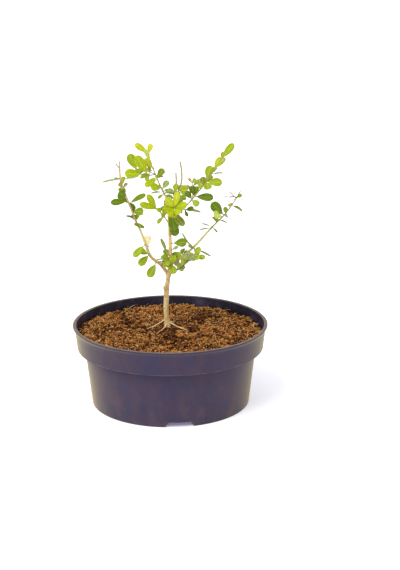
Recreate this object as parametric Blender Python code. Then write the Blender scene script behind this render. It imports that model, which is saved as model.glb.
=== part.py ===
"""A young boxwood bonsai in a plastic nursery bowl.

The plant is modelled the way it grows. A trunk forks into a leader and boughs, each one tapering
limb. Every mass of leaves is one solid: a stem, its side twigs and its leaves, fused together.
The leaves at the front of a stem are named one by one, because each of them shows. Those at its
back follow the plant's own rule, which sets them in pairs, each pair across the one before it.

Sizes are in millimetres and become metres when a mesh is made. +X is right, -Y is the front, +Z is
up, and the origin is the middle of the pot's foot on the ground.
"""

import math
import random
from collections import namedtuple

import bmesh
import bpy
from mathutils import Vector
from mathutils.bvhtree import BVHTree

MM = 0.001
GAP = 0.3                     # clear space between neighbouring solids

# Pot: a turned bowl with a foot skirt, a deep rim band and a thin lip.
POT_HEIGHT = 83.5
LIP_RADIUS = 100.0
LIP_DEPTH = 2.7
BAND_TOP_RADIUS = 97.9
BAND_FOOT_RADIUS = 95.7
BAND_FOOT_HEIGHT = 59.4
BODY_TOP_RADIUS = 88.1
FOOT_RADIUS = 81.3
FOOT_RING_WIDTH = 3.0
WALL = 1.8
BASE_UNDERSIDE = 5.6
BASE_THICKNESS = 2.0
LEDGE_DROP = 1.4              # the ledge's underside lies this far under the band's foot
EDGE = 0.4                    # small rounding at the lip and the ledge
POT_SIDES = 72

# Openings in the foot skirt and the base plate that let water out.
NOTCH_COUNT = 3
NOTCH_FIRST_BEARING = -84.0
NOTCH_TOP_WIDTH = 22.0
NOTCH_FOOT_WIDTH = 29.4
NOTCH_HEIGHT = 5.2
DRAIN_COUNT = 6
DRAIN_FIRST_BEARING = 30.0
DRAIN_RADIUS = 4.5
DRAIN_CIRCLE = 56.0
DRAIN_SIDES = 16

# Soil: a shallow mound that stands a little under the lip.
GROUND = 76.0                 # level of the soil at the trunk
SOIL_DROP = 2.6               # how much lower it is at the wall
MOUND_RADIUS = 34.0
SOIL_EDGE = BAND_TOP_RADIUS - WALL - 1.1
SOIL_SIDES = 48
SOIL_BUMP = 0.5
SOIL_RINGS = (82.0, 70.0, 58.0, 46.0, 34.0, 20.0)

# Wood: sides round a tube, and the distance between its rings
TRUNK_SIDES, TRUNK_STEP = 12, 2.4
LIMB_SIDES, LIMB_STEP = 8, 5.0
TWIG_SIDES, TWIG_STEP = 5, 6.0
ROOT_SIDES, ROOT_STEP = 6, 4.0

# The trunk's own shape: how much wider or thinner it is there, and over what height
FLARE, FLARE_HEIGHT = 2.0, 2.4
FORK_SWELL, FORK_SWELL_HEIGHT = 0.5, 3.5
WAIST, WAIST_DROP, WAIST_HEIGHT = 0.45, 9.0, 5.0
KNOB, KNOB_LEVEL, KNOB_HEIGHT = 1.5, 118.0, 2.2

# Leaf blade: where it is measured along its length, and its half width there as a share.
BLADE = ((0.30, 0.33), (0.60, 0.49), (0.86, 0.36))
PETIOLE_HALF_WIDTH = 0.45
LEAF_THICKNESS = 0.5
LEAF_FOLD, FOLD_SPREAD = 0.18, 0.06
LEAF_CURL, CURL_SPREAD = 0.10, 0.08
WIDTH_SPREAD = 0.08
LEAF_TRIES = (0, 12, -12, 25, -25)    # degrees a crowded leaf may swing aside
LEAF_ROOM = 0.25              # clear space kept round a leaf
FRONT = Vector((0.0, -0.96, 0.28))    # where the face of an upright leaf looks

# The plant's rule for leaves that aren't named
FIRST_NODE = 10.0
NODE_SPACING = 7.5
BACK_SPACING = 11.0
BARE_TIP = 17.0
OPENING = 64.0                # degrees between a stem and its leaf
BACK_SWING = 32.0             # degrees to either side of straight back
GROWN_LENGTH = (10.0, 13.0)
GROWN_WIDTH = 0.6             # as a share of its length
GROWN_TURN = (10.0, 40.0)

Stem = namedtuple("Stem", "route foot tip leaves grown", defaults=((), None))
Leaf = namedtuple("Leaf", "along heading toward length width turn")
Mass = namedtuple("Mass", "parents stems")

# Which leaves the rule adds to a stem
BACK = "back"                 # only those that lean away from the front
PAIRS = "pairs"               # both leaves of every pair


# ---------------------------------------------------------------- the plant's own measurements
# A limb is a route in mm from its root to its tip, and its radius at both ends.
LIMBS = {
    "trunk": Stem(((-2.6, 10, 75), (-4, 9.5, 90), (-4.1, 9, 104), (-3.5, 8.5, 116), (-2.4, 8, 125),
                   (-0.8, 8, 135.3)), 2.9, 2.7, ()),
    "leader": Stem(((-0.9, 8, 134.6), (0.9, 6, 146), (0.6, 4, 157), (0.2, 3, 178), (-1, 3, 198)),
                   2.1, 1.4, ()),
    "left_bough": Stem(((-2, 7.6, 133), (-9, 4, 143.6), (-19.1, -3, 153.9), (-24.2, -10, 169),
                        (-29.3, -16, 185)), 1.9, 1.1, ()),
    "right_bough": Stem(((0.9, 5.6, 143.4), (8, 10, 147), (18, 17, 152.5), (31, 26, 163),
                         (41.5, 32, 173.5)), 1.5, 1.0, ()),
    "upper_right_bough": Stem(((-0.4, 3, 188), (5.2, 1, 193.8), (11, -4, 200.9), (20, -14, 212.6)),
                              1.1, 0.8, ()),
    "upper_left_bough": Stem(((-0.9, 3, 192.5), (-2.2, 8, 205), (-4, 13, 213)), 1.1, 0.9, ()),
}
LIMB_PARENTS = {
    "leader": ("trunk",),
    "left_bough": ("trunk", "leader"),
    "right_bough": ("leader",),
    "upper_right_bough": ("leader",),
    "upper_left_bough": ("leader",),
}

# Roots that show on the soil, from the trunk outwards, with their radius at both ends.
ROOTS = (
    Stem(((-4.5, 9.5, 84.5), (-8, 8.5, 82), (-15, 5, 79), (-24, 0.5, 77)), 0.8, 0.4, ()),
    Stem(((-3.4, 9, 79.5), (-5.2, 3, 78), (-9.5, -8, 77), (-13, -14, 76.9)), 0.8, 0.4, ()),
    Stem(((-2, 9, 81), (2, 7, 79.6), (8, 1.5, 78), (16, -7, 77), (19, -6, 77)), 0.8, 0.4, ()),
    Stem(((-3, 11, 80), (-1, 17, 78), (4, 24, 77), (6, 30, 77)), 0.8, 0.4, ()),
)

# A mass of leaves: the limbs that its stem grows from, and its stems. The first stem is the main
# one, and a side twig starts on an earlier one. A leaf is: millimetres along the stem, heading seen
# from the front (0 right, 90 up), lean toward the front, length, width, and turn of its face from
# the front up to the sky, all in degrees and mm. BACK or PAIRS adds leaves by the plant's rule.
MASSES = {
    "left_shoot": Mass(("left_bough",), (
        Stem(((-29.3, -16, 185), (-33, -20, 194), (-37, -24, 206), (-41, -28, 218), (-47, -34, 238),
              (-48, -38, 258.2)), 0.95, 0.65, (
            Leaf(3, 85, 62, 11, 12, 10), Leaf(14, 154, -20, 10, 6, 62), Leaf(12, 72, 10, 8, 4, 20),
            Leaf(22.5, 16, 38, 14, 8, 8), Leaf(21, -8, -25, 19, 7, 76),
            Leaf(36, 180, 20, 17.5, 7.5, 15), Leaf(33, 28, -15, 19, 7, 36),
            Leaf(40.5, 135, 48, 13.5, 11, 0), Leaf(51, 52, -20, 7, 3.5, 20),
            Leaf(52, 118, 40, 8, 4.5, 10), Leaf(61, 190, -20, 20, 6.5, 74),
            Leaf(60, 8, -30, 20, 6.5, 78), Leaf(62, 165, 45, 8, 4, 50)), BACK),
        Stem(((-48, -37, 251.5), (-50, -37.5, 254), (-51.5, -38, 256)), 0.45, 0.35))),
    "left_low_sprig": Mass(("left_bough",), (
        Stem(((-12.8, 1.4, 147.5), (-14.2, -2.8, 147.4)), 0.6, 0.55, (
            Leaf(3.8, -120, 24, 16.5, 9, 10),)),)),
    "left_knee_sprig": Mass(("left_bough",), (
        Stem(((-20.6, -4.8, 157.6), (-20.8, -8.2, 157.4)), 0.6, 0.5, (
            Leaf(3, -138, 25, 15, 7.5, 10), Leaf(3, 148, 20, 14.5, 8, 24))),)),
    "left_mid_sprig": Mass(("left_bough",), (
        Stem(((-24.7, -9.6, 168.6), (-25, -13.4, 169)), 0.55, 0.5, (
            Leaf(3.4, -139, 26, 16.5, 7, 14),)),)),
    "left_dry_sprig": Mass(("left_bough",), (
        Stem(((-23, -8.8, 165.6), (-21.4, -6, 165.4)), 0.5, 0.45, (
            Leaf(3, 98, -12, 11.5, 9, 0),)),)),
    "upper_left_shoot": Mass(("upper_left_bough",), (
        Stem(((-4, 13, 213), (-10, 20, 224), (-14, 25, 233), (-19, 30, 245), (-20.4, 31.6, 254.5)),
             0.8, 0.5, (
            Leaf(2.5, 34, -20, 8, 5, 10), Leaf(3, -148, 15, 8, 4, 40), Leaf(5, 184, -10, 13, 6, 66),
            Leaf(5.5, 12, -42, 12, 6, 50), Leaf(8, 53, -20, 11, 6.5, 10),
            Leaf(13, 184, 42, 12, 8.5, 5), Leaf(20, 200, 30, 15, 6.5, 15),
            Leaf(23, 222, 32, 12, 6, 5), Leaf(21, 55, -20, 12, 7, 5),
            Leaf(23, 22, -40, 14, 5.5, 66), Leaf(32, 124, 30, 16, 8, 8),
            Leaf(40.5, 112, 12, 13.5, 5.5, 8), Leaf(47.5, 141, 8, 17.5, 6.5, 6),
            Leaf(47.5, 66, -6, 13, 5, 10)), BACK),
        Stem(((-14, 25, 233), (-20, 21, 233), (-26.5, 18, 234), (-31, 17, 237.5)), 0.6, 0.45, (
            Leaf(8.5, 119, 16, 24, 10.5, 6), Leaf(19, 113, -8, 20, 9.5, 4),
            Leaf(13, 172, 24, 18, 10.5, 20), Leaf(6, 190, -30, 13, 6.5, 30))),
        Stem(((-14, 25, 233), (-20, 34, 234), (-27, 43, 234)), 0.55, 0.45, (), PAIRS))),
    "left_centre_shoot": Mass(("leader",), (
        Stem(((-0.6, 3, 186.5), (-5, 8, 192.5), (-9, 13, 196), (-13, 17, 198.5), (-16, 19.5, 200.5)),
             0.7, 0.5, (
            Leaf(9, 88, 32, 13, 6.5, 5), Leaf(10, 222, 0, 10, 5, 35), Leaf(15, 122, 10, 7, 4, 10),
            Leaf(16, -60, -35, 9, 6, 30), Leaf(22, 107, 8, 18, 7, 5), Leaf(22, 155, 16, 18.5, 7, 8),
            Leaf(23, 6, -30, 12, 5, 72), Leaf(24, 130, -45, 12, 7, 10)), BACK),)),
    "crown_shoot": Mass(("leader",), (
        Stem(((-1, 3, 197.6), (1.5, 6, 203), (4, 9, 209), (6, 13, 216), (7, 16, 224),
              (6.8, 18.5, 236)), 0.9, 0.7, (
            Leaf(9, 170, -40, 11, 6, 20), Leaf(15, 60, -40, 12, 7, 20),
            Leaf(21, 84, 0, 11, 5.5, 10), Leaf(22, 150, -20, 9, 5, 30)), BACK),
        Stem(((-0.2, 4.4, 200), (0.6, -1, 200.6), (3, -5, 203), (5.4, -10, 206)), 0.65, 0.6, (
            Leaf(16, 126, 22, 15, 7.5, 0), Leaf(16, 80, 22, 18.5, 7, 0),
            Leaf(15, 170, 38, 13, 7.5, 6), Leaf(16, 212, 55, 12, 7, 10),
            Leaf(14, -104, 46, 10, 8, 4), Leaf(15, 26, 26, 15, 8, 4), Leaf(14, 50, -6, 19, 5, 30),
            Leaf(16, -30, 62, 11, 7, 0), Leaf(5, -74, 16, 20, 10.5, 6),
            Leaf(5, -15, 27, 20.5, 8.5, 12))),
        Stem(((5, 11, 212.5), (10, 14, 219.5), (12.6, 15.5, 229), (12.4, 17.5, 239), (11, 18, 247.5)),
             0.85, 0.75, (
            Leaf(8, 12, 42, 12, 10.5, 2), Leaf(9, 150, -50, 10, 6, 20)), BACK))),
    "leader_top_sprig": Mass(("leader",), (
        Stem(((-0.8, 3, 193.6), (0, 0, 193.2)), 0.6, 0.55, (
            Leaf(3, -68, 6, 19.5, 10, 6),)),)),
    "upper_right_sprig": Mass(("upper_right_bough",), (
        Stem(((13.6, -6.9, 204.4), (16.4, -8.6, 203.2)), 0.55, 0.5, (
            Leaf(2.5, 14, 16, 9, 6, 20), Leaf(2.5, -12, -30, 19, 6, 58), Leaf(2, -62, 40, 8, 5, 50))),)),
    "upper_right_shoot": Mass(("upper_right_bough",), (
        Stem(((20, -14, 212.6), (26.8, -22, 222.7), (33, -28, 231.7), (39, -33, 241.8), (45, -37, 252),
              (52, -40, 262.8)), 0.75, 0.5, (
            Leaf(4, -30, 38, 10, 6.5, 4), Leaf(5, 128, -18, 10, 6.5, 10),
            Leaf(9, 82, -38, 11, 6, 20), Leaf(10, 2, 18, 19, 8.5, 22), Leaf(11, 108, 12, 11, 7, 20),
            Leaf(33.5, -72, 50, 10, 8, 0), Leaf(28, 97, 34, 11.5, 7, 10),
            Leaf(33.5, 1, 20, 15.5, 8, 10), Leaf(35, 78, 14, 15, 8, 5),
            Leaf(43, 8, -10, 12.5, 6, 70), Leaf(49, 66, 18, 14.5, 6, 10),
            Leaf(50, 46, -8, 15, 6, 25), Leaf(62.5, 54, 8, 19, 7.5, 4),
            Leaf(63, 70, -40, 9, 5, 10)), BACK),
        Stem(((22.4, -16.9, 216.3), (23.2, -20, 225), (22.2, -21.5, 235)), 0.5, 0.4, (
            Leaf(11, 150, 10, 8, 4, 20), Leaf(14, 40, -25, 11, 4.5, 30), Leaf(17, 62, 20, 7, 4, 10),
            Leaf(18, 128, -20, 6, 3, 10))))),
    "right_node_sprig": Mass(("right_bough",), (
        Stem(((23.6, 21, 156.4), (24.6, 17.8, 157.4)), 0.6, 0.55, (
            Leaf(3, 138, -22, 20, 6.5, -72), Leaf(3, -18, 18, 20, 6, 70),
            Leaf(3, -46, 32, 9, 5.5, 15), Leaf(3, 140, 20, 7, 4, 20))),)),
    "right_back_sprig": Mass(("right_bough",), (
        Stem(((12.6, 13.4, 149.3), (13.2, 17, 151)), 0.6, 0.5, (
            Leaf(3, 8, -45, 13, 7.5, 25), Leaf(3, 90, -62, 11, 6.5, 25))),)),
    "right_shoot": Mass(("right_bough",), (
        Stem(((41.5, 32, 173.5), (48, 35, 179.5), (57, 39, 187.5), (67, 44, 200), (74, 48, 211)),
             0.85, 0.45, (
            Leaf(3, 152, -10, 11, 5, 68), Leaf(3.5, -40, 18, 8, 4, 62),
            Leaf(1.6, 186, -10, 12, 5, 70), Leaf(14, -20, -20, 10, 5.5, 66),
            Leaf(21, 132, 14, 19.5, 11, 4), Leaf(19, 152, 36, 13, 9, 24),
            Leaf(23, 88, 20, 8, 5, 20), Leaf(34, -24, -28, 16, 6, 50),
            Leaf(43, -10, -20, 13, 5, 76), Leaf(41, 154, -10, 13, 5, 76),
            Leaf(44, 36, 28, 7, 4, 15)), BACK),
        Stem(((69.2, 45.3, 203.5), (66, 46, 206.3), (62.5, 47, 209.8)), 0.4, 0.3),
        Stem(((69.8, 45.6, 204.4), (66.5, 43.5, 205.5), (62.4, 41.5, 206.3)), 0.4, 0.3))),
    "lower_right_shoot": Mass(("trunk", "leader"), (
        Stem(((-1, 7.8, 133), (6, 1.5, 138), (12, -6, 144), (17, -12, 150), (22, -17, 156),
              (28, -22, 160)), 0.75, 0.55, (
            Leaf(26, 66, -30, 11, 6, 20), Leaf(35.5, 58, 42, 14, 10, 4),
            Leaf(37, 150, -28, 9, 5, 25), Leaf(45, 4, 18, 11, 5.5, 12),
            Leaf(44, 58, -18, 12, 5.5, 10), Leaf(45, 20, 60, 9, 5.5, 10)), BACK),)),
    "leader_sprig": Mass(("leader",), (
        Stem(((0.4, 3.4, 166), (3.2, 1, 167)), 0.6, 0.55, (
            Leaf(3.2, 6, 10, 14.5, 9, 6),)),)),
    "leader_low_sprig": Mass(("leader",), (
        Stem(((0.5, 3.8, 159), (2.4, 1.8, 160)), 0.55, 0.5, (
            Leaf(2.4, 34, 20, 7.5, 4, 30),)),)),
    "fork_left_sprig": Mass(("leader",), (
        Stem(((0.7, 4.8, 149.6), (-1.8, 1.2, 150.2)), 0.7, 0.6, (
            Leaf(3.6, 138, 28, 9, 5.5, 12), Leaf(3.6, 184, -24, 14, 5.5, 70),
            Leaf(3.8, 26, 52, 12, 7, 6), Leaf(3.6, 250, 52, 8, 5.5, 14))),
        Stem(((-0.9, 2.4, 150), (-2, 1.6, 152.2), (-2.8, 1.4, 154.6)), 0.45, 0.35, (
            Leaf(4.4, 105, -4, 18.5, 5, 46),)))),
    "fork_right_sprig": Mass(("leader",), (
        Stem(((0.7, 4.8, 151), (3.6, 1.4, 151.4)), 0.7, 0.6, (
            Leaf(3.8, 32, 26, 11, 5.5, 12), Leaf(3.4, 44, 30, 7.5, 5, 14),
            Leaf(3.8, -48, 26, 17, 6.5, 12), Leaf(3.4, 32, -20, 10, 6, 30))),)),
    "fork_low_sprig": Mass(("leader",), (
        Stem(((0.3, 6.6, 144.5), (0.4, 1.8, 146)), 0.7, 0.6, (
            Leaf(4.6, 184, 36, 8.5, 5.5, 14), Leaf(4.6, -128, 60, 7, 5.5, 8),
            Leaf(4.4, -64, 46, 13, 7.5, 6), Leaf(4.4, 176, -20, 14, 4.5, 74))),)),
    "back_shoot": Mass(("leader",), (
        Stem(((-0.8, 3, 190), (1, 11, 194), (3, 22, 197.5), (5, 34, 201), (6, 45, 207)),
             0.75, 0.5, (), PAIRS),)),
    "low_back_shoot": Mass(("leader",), (
        Stem(((0.6, 4.8, 152), (0, 14, 148.5), (-0.5, 26, 145), (1, 38, 143)),
             0.75, 0.5, (), PAIRS),)),
}

# Plain finishes: colour, roughness, metallic
PLASTIC = ((0.020, 0.018, 0.032, 1.0), 0.42, 0.0)
PEAT = ((0.085, 0.036, 0.014, 1.0), 0.95, 0.0)
BARK = ((0.42, 0.30, 0.15, 1.0), 0.85, 0.0)
YOUNG_LEAF = ((0.42, 0.52, 0.03, 1.0), 0.45, 0.0)
GREEN_LEAF = ((0.20, 0.34, 0.03, 1.0), 0.45, 0.0)


# ---------------------------------------------------------------- small tools
def clear_scene():
    for old in list(bpy.data.objects):
        bpy.data.objects.remove(old, do_unlink=True)


def finish(name, values):
    material = bpy.data.materials.new(name)
    material.use_nodes = True
    shader = material.node_tree.nodes["Principled BSDF"]
    colour, roughness, metallic = values
    shader.inputs["Base Color"].default_value = colour
    shader.inputs["Roughness"].default_value = roughness
    shader.inputs["Metallic"].default_value = metallic
    material.diffuse_color = colour
    return material


def solid(name, points, faces, material=None):
    """A mesh object from points in millimetres, with its faces turned outwards."""
    mesh = bpy.data.meshes.new(name)
    mesh.from_pydata([tuple(Vector(p) * MM) for p in points], [], faces)
    tidy = bmesh.new()
    tidy.from_mesh(mesh)
    bmesh.ops.recalc_face_normals(tidy, faces=tidy.faces)
    if tidy.calc_volume(signed=True) < 0:
        bmesh.ops.reverse_faces(tidy, faces=tidy.faces)
    tidy.to_mesh(mesh)
    tidy.free()
    made = bpy.data.objects.new(name, mesh)
    bpy.context.scene.collection.objects.link(made)
    if material:
        mesh.materials.append(material)
    return made


def discard(objects):
    for old in list(objects):
        mesh = old.data
        bpy.data.objects.remove(old, do_unlink=True)
        bpy.data.meshes.remove(mesh)


def apply_boolean(target, operation, others, solver):
    """Join `others` to the target or cut them from it in one go, then remove them."""
    group = bpy.data.collections.new(target.name + "_tools")
    bpy.context.scene.collection.children.link(group)
    for other in others:
        bpy.context.scene.collection.objects.unlink(other)
        group.objects.link(other)
    boolean = target.modifiers.new("Boolean", "BOOLEAN")
    boolean.operation = operation
    boolean.operand_type = "COLLECTION"
    boolean.collection = group
    boolean.solver = solver
    evaluated = target.evaluated_get(bpy.context.evaluated_depsgraph_get())
    result = bpy.data.meshes.new_from_object(evaluated)
    target.modifiers.clear()
    old = target.data
    target.data = result
    bpy.data.meshes.remove(old)
    discard(others)
    bpy.data.collections.remove(group)


def keep_largest_body(target):
    """Drop the loose scraps that a cut can leave."""
    mesh = bmesh.new()
    mesh.from_mesh(target.data)
    waiting = set(mesh.verts)
    bodies = []
    while waiting:
        body = set()
        edge = [waiting.pop()]
        while edge:
            vertex = edge.pop()
            body.add(vertex)
            for link in vertex.link_edges:
                other = link.other_vert(vertex)
                if other in waiting:
                    waiting.remove(other)
                    edge.append(other)
        bodies.append(body)
    bodies.sort(key=len, reverse=True)
    scraps = [vertex for body in bodies[1:] for vertex in body]
    bmesh.ops.delete(mesh, geom=scraps, context="VERTS")
    mesh.to_mesh(target.data)
    mesh.free()


def shade_round(target, angle=40.0):
    target.data.shade_smooth()
    target.data.set_sharp_from_angle(angle=math.radians(angle))


# ---------------------------------------------------------------- limbs
def smooth_route(route, step):
    """Points about `step` apart on a curve that passes through the route's own points."""
    points = [Vector(p) for p in route]
    before = points[0] * 2 - points[1]
    after = points[-1] * 2 - points[-2]
    knots = [before] + points + [after]
    curve = []
    for k in range(1, len(knots) - 2):
        p0, p1, p2, p3 = knots[k - 1:k + 3]
        count = max(1, round((p2 - p1).length / step))
        for i in range(count):
            t = i / count
            a = p1 * 2
            b = (p2 - p0) * t
            c = (p0 * 2 - p1 * 5 + p2 * 4 - p3) * t ** 2
            d = (p1 * 3 - p0 - p2 * 3 + p3) * t ** 3
            curve.append((a + b + c + d) / 2)
    return curve + [points[-1]]


def distances(curve):
    along = [0.0]
    for first, second in zip(curve, curve[1:]):
        along.append(along[-1] + (second - first).length)
    return along


def point_along(curve, distance):
    """The place and the direction at a distance along a curve."""
    along = distances(curve)
    for k in range(len(curve) - 1):
        if distance <= along[k + 1] or k == len(curve) - 2:
            part = (distance - along[k]) / (along[k + 1] - along[k])
            heading = (curve[k + 1] - curve[k]).normalized()
            return curve[k].lerp(curve[k + 1], min(part, 1.0)), heading


def tube(name, curve, radius_at, sides, material=None):
    """A closed tube. `radius_at` gives the radius at a share of its length and a bearing."""
    along = distances(curve)
    side = Vector((0, 1, 0))
    points, faces = [], []
    for k, centre in enumerate(curve):
        ahead = curve[min(k + 1, len(curve) - 1)] - curve[max(k - 1, 0)]
        ahead.normalize()
        side = (side - ahead * side.dot(ahead)).normalized()
        other = ahead.cross(side)
        for i in range(sides):
            bearing = 2 * math.pi * i / sides
            spoke = side * math.cos(bearing) + other * math.sin(bearing)
            points.append(centre + spoke * radius_at(along[k] / along[-1], centre, spoke))
    for k in range(len(curve) - 1):
        for i in range(sides):
            j = (i + 1) % sides
            a, b = k * sides, (k + 1) * sides
            faces.append((a + i, a + j, b + j, b + i))
    last = (len(curve) - 1) * sides
    faces.append(tuple(range(sides - 1, -1, -1)))
    faces.append(tuple(range(last, last + sides)))
    return solid(name, points, faces, material)


def taper(stem, grow=0.0):
    def radius_at(share, centre, spoke):
        return stem.foot + (stem.tip - stem.foot) * share + grow
    return radius_at


def limb_curve(name, step, grow):
    """A limb's curve, made longer at both ends by `grow`."""
    curve = smooth_route(LIMBS[name].route, step)
    curve[0] = curve[0] + (curve[0] - curve[1]).normalized() * grow
    curve[-1] = curve[-1] + (curve[-1] - curve[-2]).normalized() * grow
    return curve


def bump(height, level, spread):
    """A smooth swelling: 1 at its level, and nothing a few spreads away."""
    return math.exp(-((height - level) / spread) ** 2)


def trunk_radius(grow):
    """Even wood that flares at the ground, swells at the fork and has one old knob."""
    stem = LIMBS["trunk"]
    bottom, top = stem.route[0][2], stem.route[-1][2]

    def radius_at(share, centre, spoke):
        height = centre.z
        radius = stem.foot + (stem.tip - stem.foot) * share
        radius += FLARE * math.exp(-(height - bottom) / FLARE_HEIGHT)
        radius += FORK_SWELL * bump(height, top, FORK_SWELL_HEIGHT)
        radius -= WAIST * bump(height, top - WAIST_DROP, WAIST_HEIGHT)
        radius += KNOB * max(0.0, -spoke.x) ** 2 * bump(height, KNOB_LEVEL, KNOB_HEIGHT)
        return radius + grow
    return radius_at


def limb_solid(name, label, grow=0.0, material=None):
    if name == "trunk":
        curve = limb_curve(name, TRUNK_STEP, grow)
        return tube(label, curve, trunk_radius(grow), TRUNK_SIDES, material)
    curve = limb_curve(name, LIMB_STEP, grow)
    return tube(label, curve, taper(LIMBS[name], grow), LIMB_SIDES, material)


def cut_clear(target, parents):
    """Trim a limb or mass so that it ends a gap short of the limbs it grows from."""
    for parent in parents:
        grow = GAP / math.cos(math.pi / LIMB_SIDES)
        cutter = limb_solid(parent, f"{target.name}_{parent}", grow)
        apply_boolean(target, "DIFFERENCE", [cutter], "EXACT")
    keep_largest_body(target)


def make_trunk(material):
    """The trunk with its surface roots, cut flat a gap above the soil."""
    trunk = limb_solid("trunk", "trunk", 0.0, material)
    roots = []
    for k, root in enumerate(ROOTS):
        curve = smooth_route(root.route, ROOT_STEP)
        roots.append(tube(f"root_{k}", curve, taper(root), ROOT_SIDES))
    apply_boolean(trunk, "UNION", roots, "EXACT")
    ends = [Vector((0, 0, height)) for height in (BAND_FOOT_HEIGHT, GROUND + GAP)]
    slab = tube("slab", ends, lambda share, centre, spoke: LIP_RADIUS, SOIL_SIDES)
    apply_boolean(trunk, "DIFFERENCE", [slab], "EXACT")
    keep_largest_body(trunk)
    shade_round(trunk)
    return trunk


def make_limbs(material):
    made = {"trunk": make_trunk(material)}
    for name, parents in LIMB_PARENTS.items():
        limb = limb_solid(name, name, 0.0, material)
        cut_clear(limb, parents)
        shade_round(limb)
        made[name] = limb
    return made


# ---------------------------------------------------------------- leaves
def leaf_axes(leaf, swing):
    """The leaf's direction and its upper face, from its heading, lean and turn."""
    heading = math.radians(leaf.heading + swing)
    toward = math.radians(leaf.toward)
    ahead = Vector((math.cos(heading) * math.cos(toward), -math.sin(toward),
                    math.sin(heading) * math.cos(toward)))
    face = (FRONT - ahead * FRONT.dot(ahead)).normalized()
    side = ahead.cross(face)
    if side.z < 0:
        side = -side
    turn = math.radians(leaf.turn)
    return ahead, face * math.cos(turn) + side * math.sin(turn)


def leaf_points(root, leaf, swing, vary, grow=0.0):
    """An obovate blade on a short petiole: four points a station, and one at the tip."""
    ahead, up = leaf_axes(leaf, swing)
    across = ahead.cross(up)
    width = leaf.width * (1 + WIDTH_SPREAD * vary[0])
    fold = LEAF_FOLD + FOLD_SPREAD * vary[1]
    curl = LEAF_CURL + CURL_SPREAD * vary[2]
    half_thick = LEAF_THICKNESS / 2 + grow
    stations = [(0.0, PETIOLE_HALF_WIDTH)] + [(t, share * width) for t, share in BLADE]
    points = []
    for t, half in stations:
        middle = root + ahead * (leaf.length * t) - up * (curl * leaf.length * t * t)
        lift = up * (fold * half if t > 0 else 0.0)
        points += [middle + across * (half + grow) + lift, middle + up * half_thick,
                   middle - across * (half + grow) + lift, middle - up * half_thick]
    points.append(root + ahead * (leaf.length + grow) - up * (curl * leaf.length))
    return points


def leaf_faces():
    faces = [(0, 1, 2, 3)]
    for k in range(len(BLADE)):
        for i in range(4):
            j = (i + 1) % 4
            a, b = 4 * k, 4 * (k + 1)
            faces += [(a + i, b + i, b + j), (a + i, b + j, a + j)]
    last = 4 * len(BLADE)
    faces += [(last + i, last + 4, last + (i + 1) % 4) for i in range(4)]
    return faces


def touches(points, faces, placed):
    trial = BVHTree.FromPolygons([tuple(p) for p in points], faces)
    return any(trial.overlap(other) for other in placed)


def tree_of(made):
    """A search tree over an object's faces, in millimetres."""
    points = [vertex.co / MM for vertex in made.data.vertices]
    return BVHTree.FromPolygons(points, [tuple(face.vertices) for face in made.data.polygons])


def grown_leaves(stem, curve, rng):
    """Leaves by the plant's rule, at even nodes: pairs turned a quarter each time, or at the back."""
    leaves = []
    along = FIRST_NODE
    quarter = 0
    spacing, bare = (BACK_SPACING, BARE_TIP) if stem.grown == BACK else (NODE_SPACING, 0)
    while stem.grown and along < distances(curve)[-1] - bare:
        _, ahead = point_along(curve, along)
        level = ahead.cross(Vector((0, 1, 0))).normalized()
        behind = level.cross(ahead)
        bearings = (quarter, quarter + 180)
        if stem.grown == BACK:
            bearings = (90 + rng.uniform(-BACK_SWING, BACK_SWING),)
        for bearing in bearings:
            turned_to = math.radians(bearing)
            across = level * math.cos(turned_to) + behind * math.sin(turned_to)
            opening = math.radians(OPENING)
            way = ahead * math.cos(opening) + across * math.sin(opening)
            heading = math.degrees(math.atan2(way.z, way.x))
            length = rng.uniform(*GROWN_LENGTH)
            leaves.append(Leaf(along, heading, math.degrees(math.asin(-way.y)), length,
                               length * GROWN_WIDTH, rng.uniform(*GROWN_TURN)))
        along += spacing
        quarter += 90
    return leaves


def leaves_of(name, stem, curve, placed, rng):
    """Each leaf of one stem as its own closed solid, swung aside or skipped where it is crowded."""
    made = []
    for k, leaf in enumerate(list(stem.leaves) + grown_leaves(stem, curve, rng)):
        vary = [rng.uniform(-1, 1) for _ in range(3)]
        root, _ = point_along(curve, leaf.along)
        for swing in LEAF_TRIES:
            trial = leaf_points(root, leaf, swing, vary, LEAF_ROOM)
            if not touches(trial, leaf_faces(), placed):
                points = leaf_points(root, leaf, swing, vary)
                made.append(solid(f"{name}_leaf_{k}", points, leaf_faces()))
                break
        else:
            print("skipped", name, leaf)
    return made


def make_mass(name, mass, placed, material):
    """One mass of leaves: its stems and leaves fused, cut clear of the limbs it grows from."""
    rng = random.Random(name)
    curves = [smooth_route(stem.route, TWIG_STEP) for stem in mass.stems]
    body = tube(name, curves[0], taper(mass.stems[0]), TWIG_SIDES, material)
    others = [tube(f"{name}_twig_{k}", curves[k], taper(mass.stems[k]), TWIG_SIDES)
              for k in range(1, len(mass.stems))]
    for k, stem in enumerate(mass.stems):
        others += leaves_of(f"{name}_{k}", stem, curves[k], placed, rng)
    apply_boolean(body, "UNION", others, "EXACT")
    cut_clear(body, mass.parents)
    shade_round(body)
    return body


# ---------------------------------------------------------------- pot and soil
def turned(name, profile, sides, material=None):
    """A closed shape turned round the Z axis. A profile point on the axis becomes one point."""
    points, rings = [], []
    for radius, height in profile:
        if radius == 0:
            rings.append([len(points)] * sides)
            points.append((0, 0, height))
            continue
        rings.append(list(range(len(points), len(points) + sides)))
        for i in range(sides):
            bearing = 2 * math.pi * i / sides
            points.append((radius * math.cos(bearing), radius * math.sin(bearing), height))
    faces = []
    for first, second in zip(rings, rings[1:]):
        for i in range(sides):
            j = (i + 1) % sides
            corners = []
            for corner in (first[i], first[j], second[j], second[i]):
                if corner not in corners:
                    corners.append(corner)
            if len(corners) > 2:
                faces.append(tuple(corners))
    return solid(name, points, faces, material)


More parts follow.
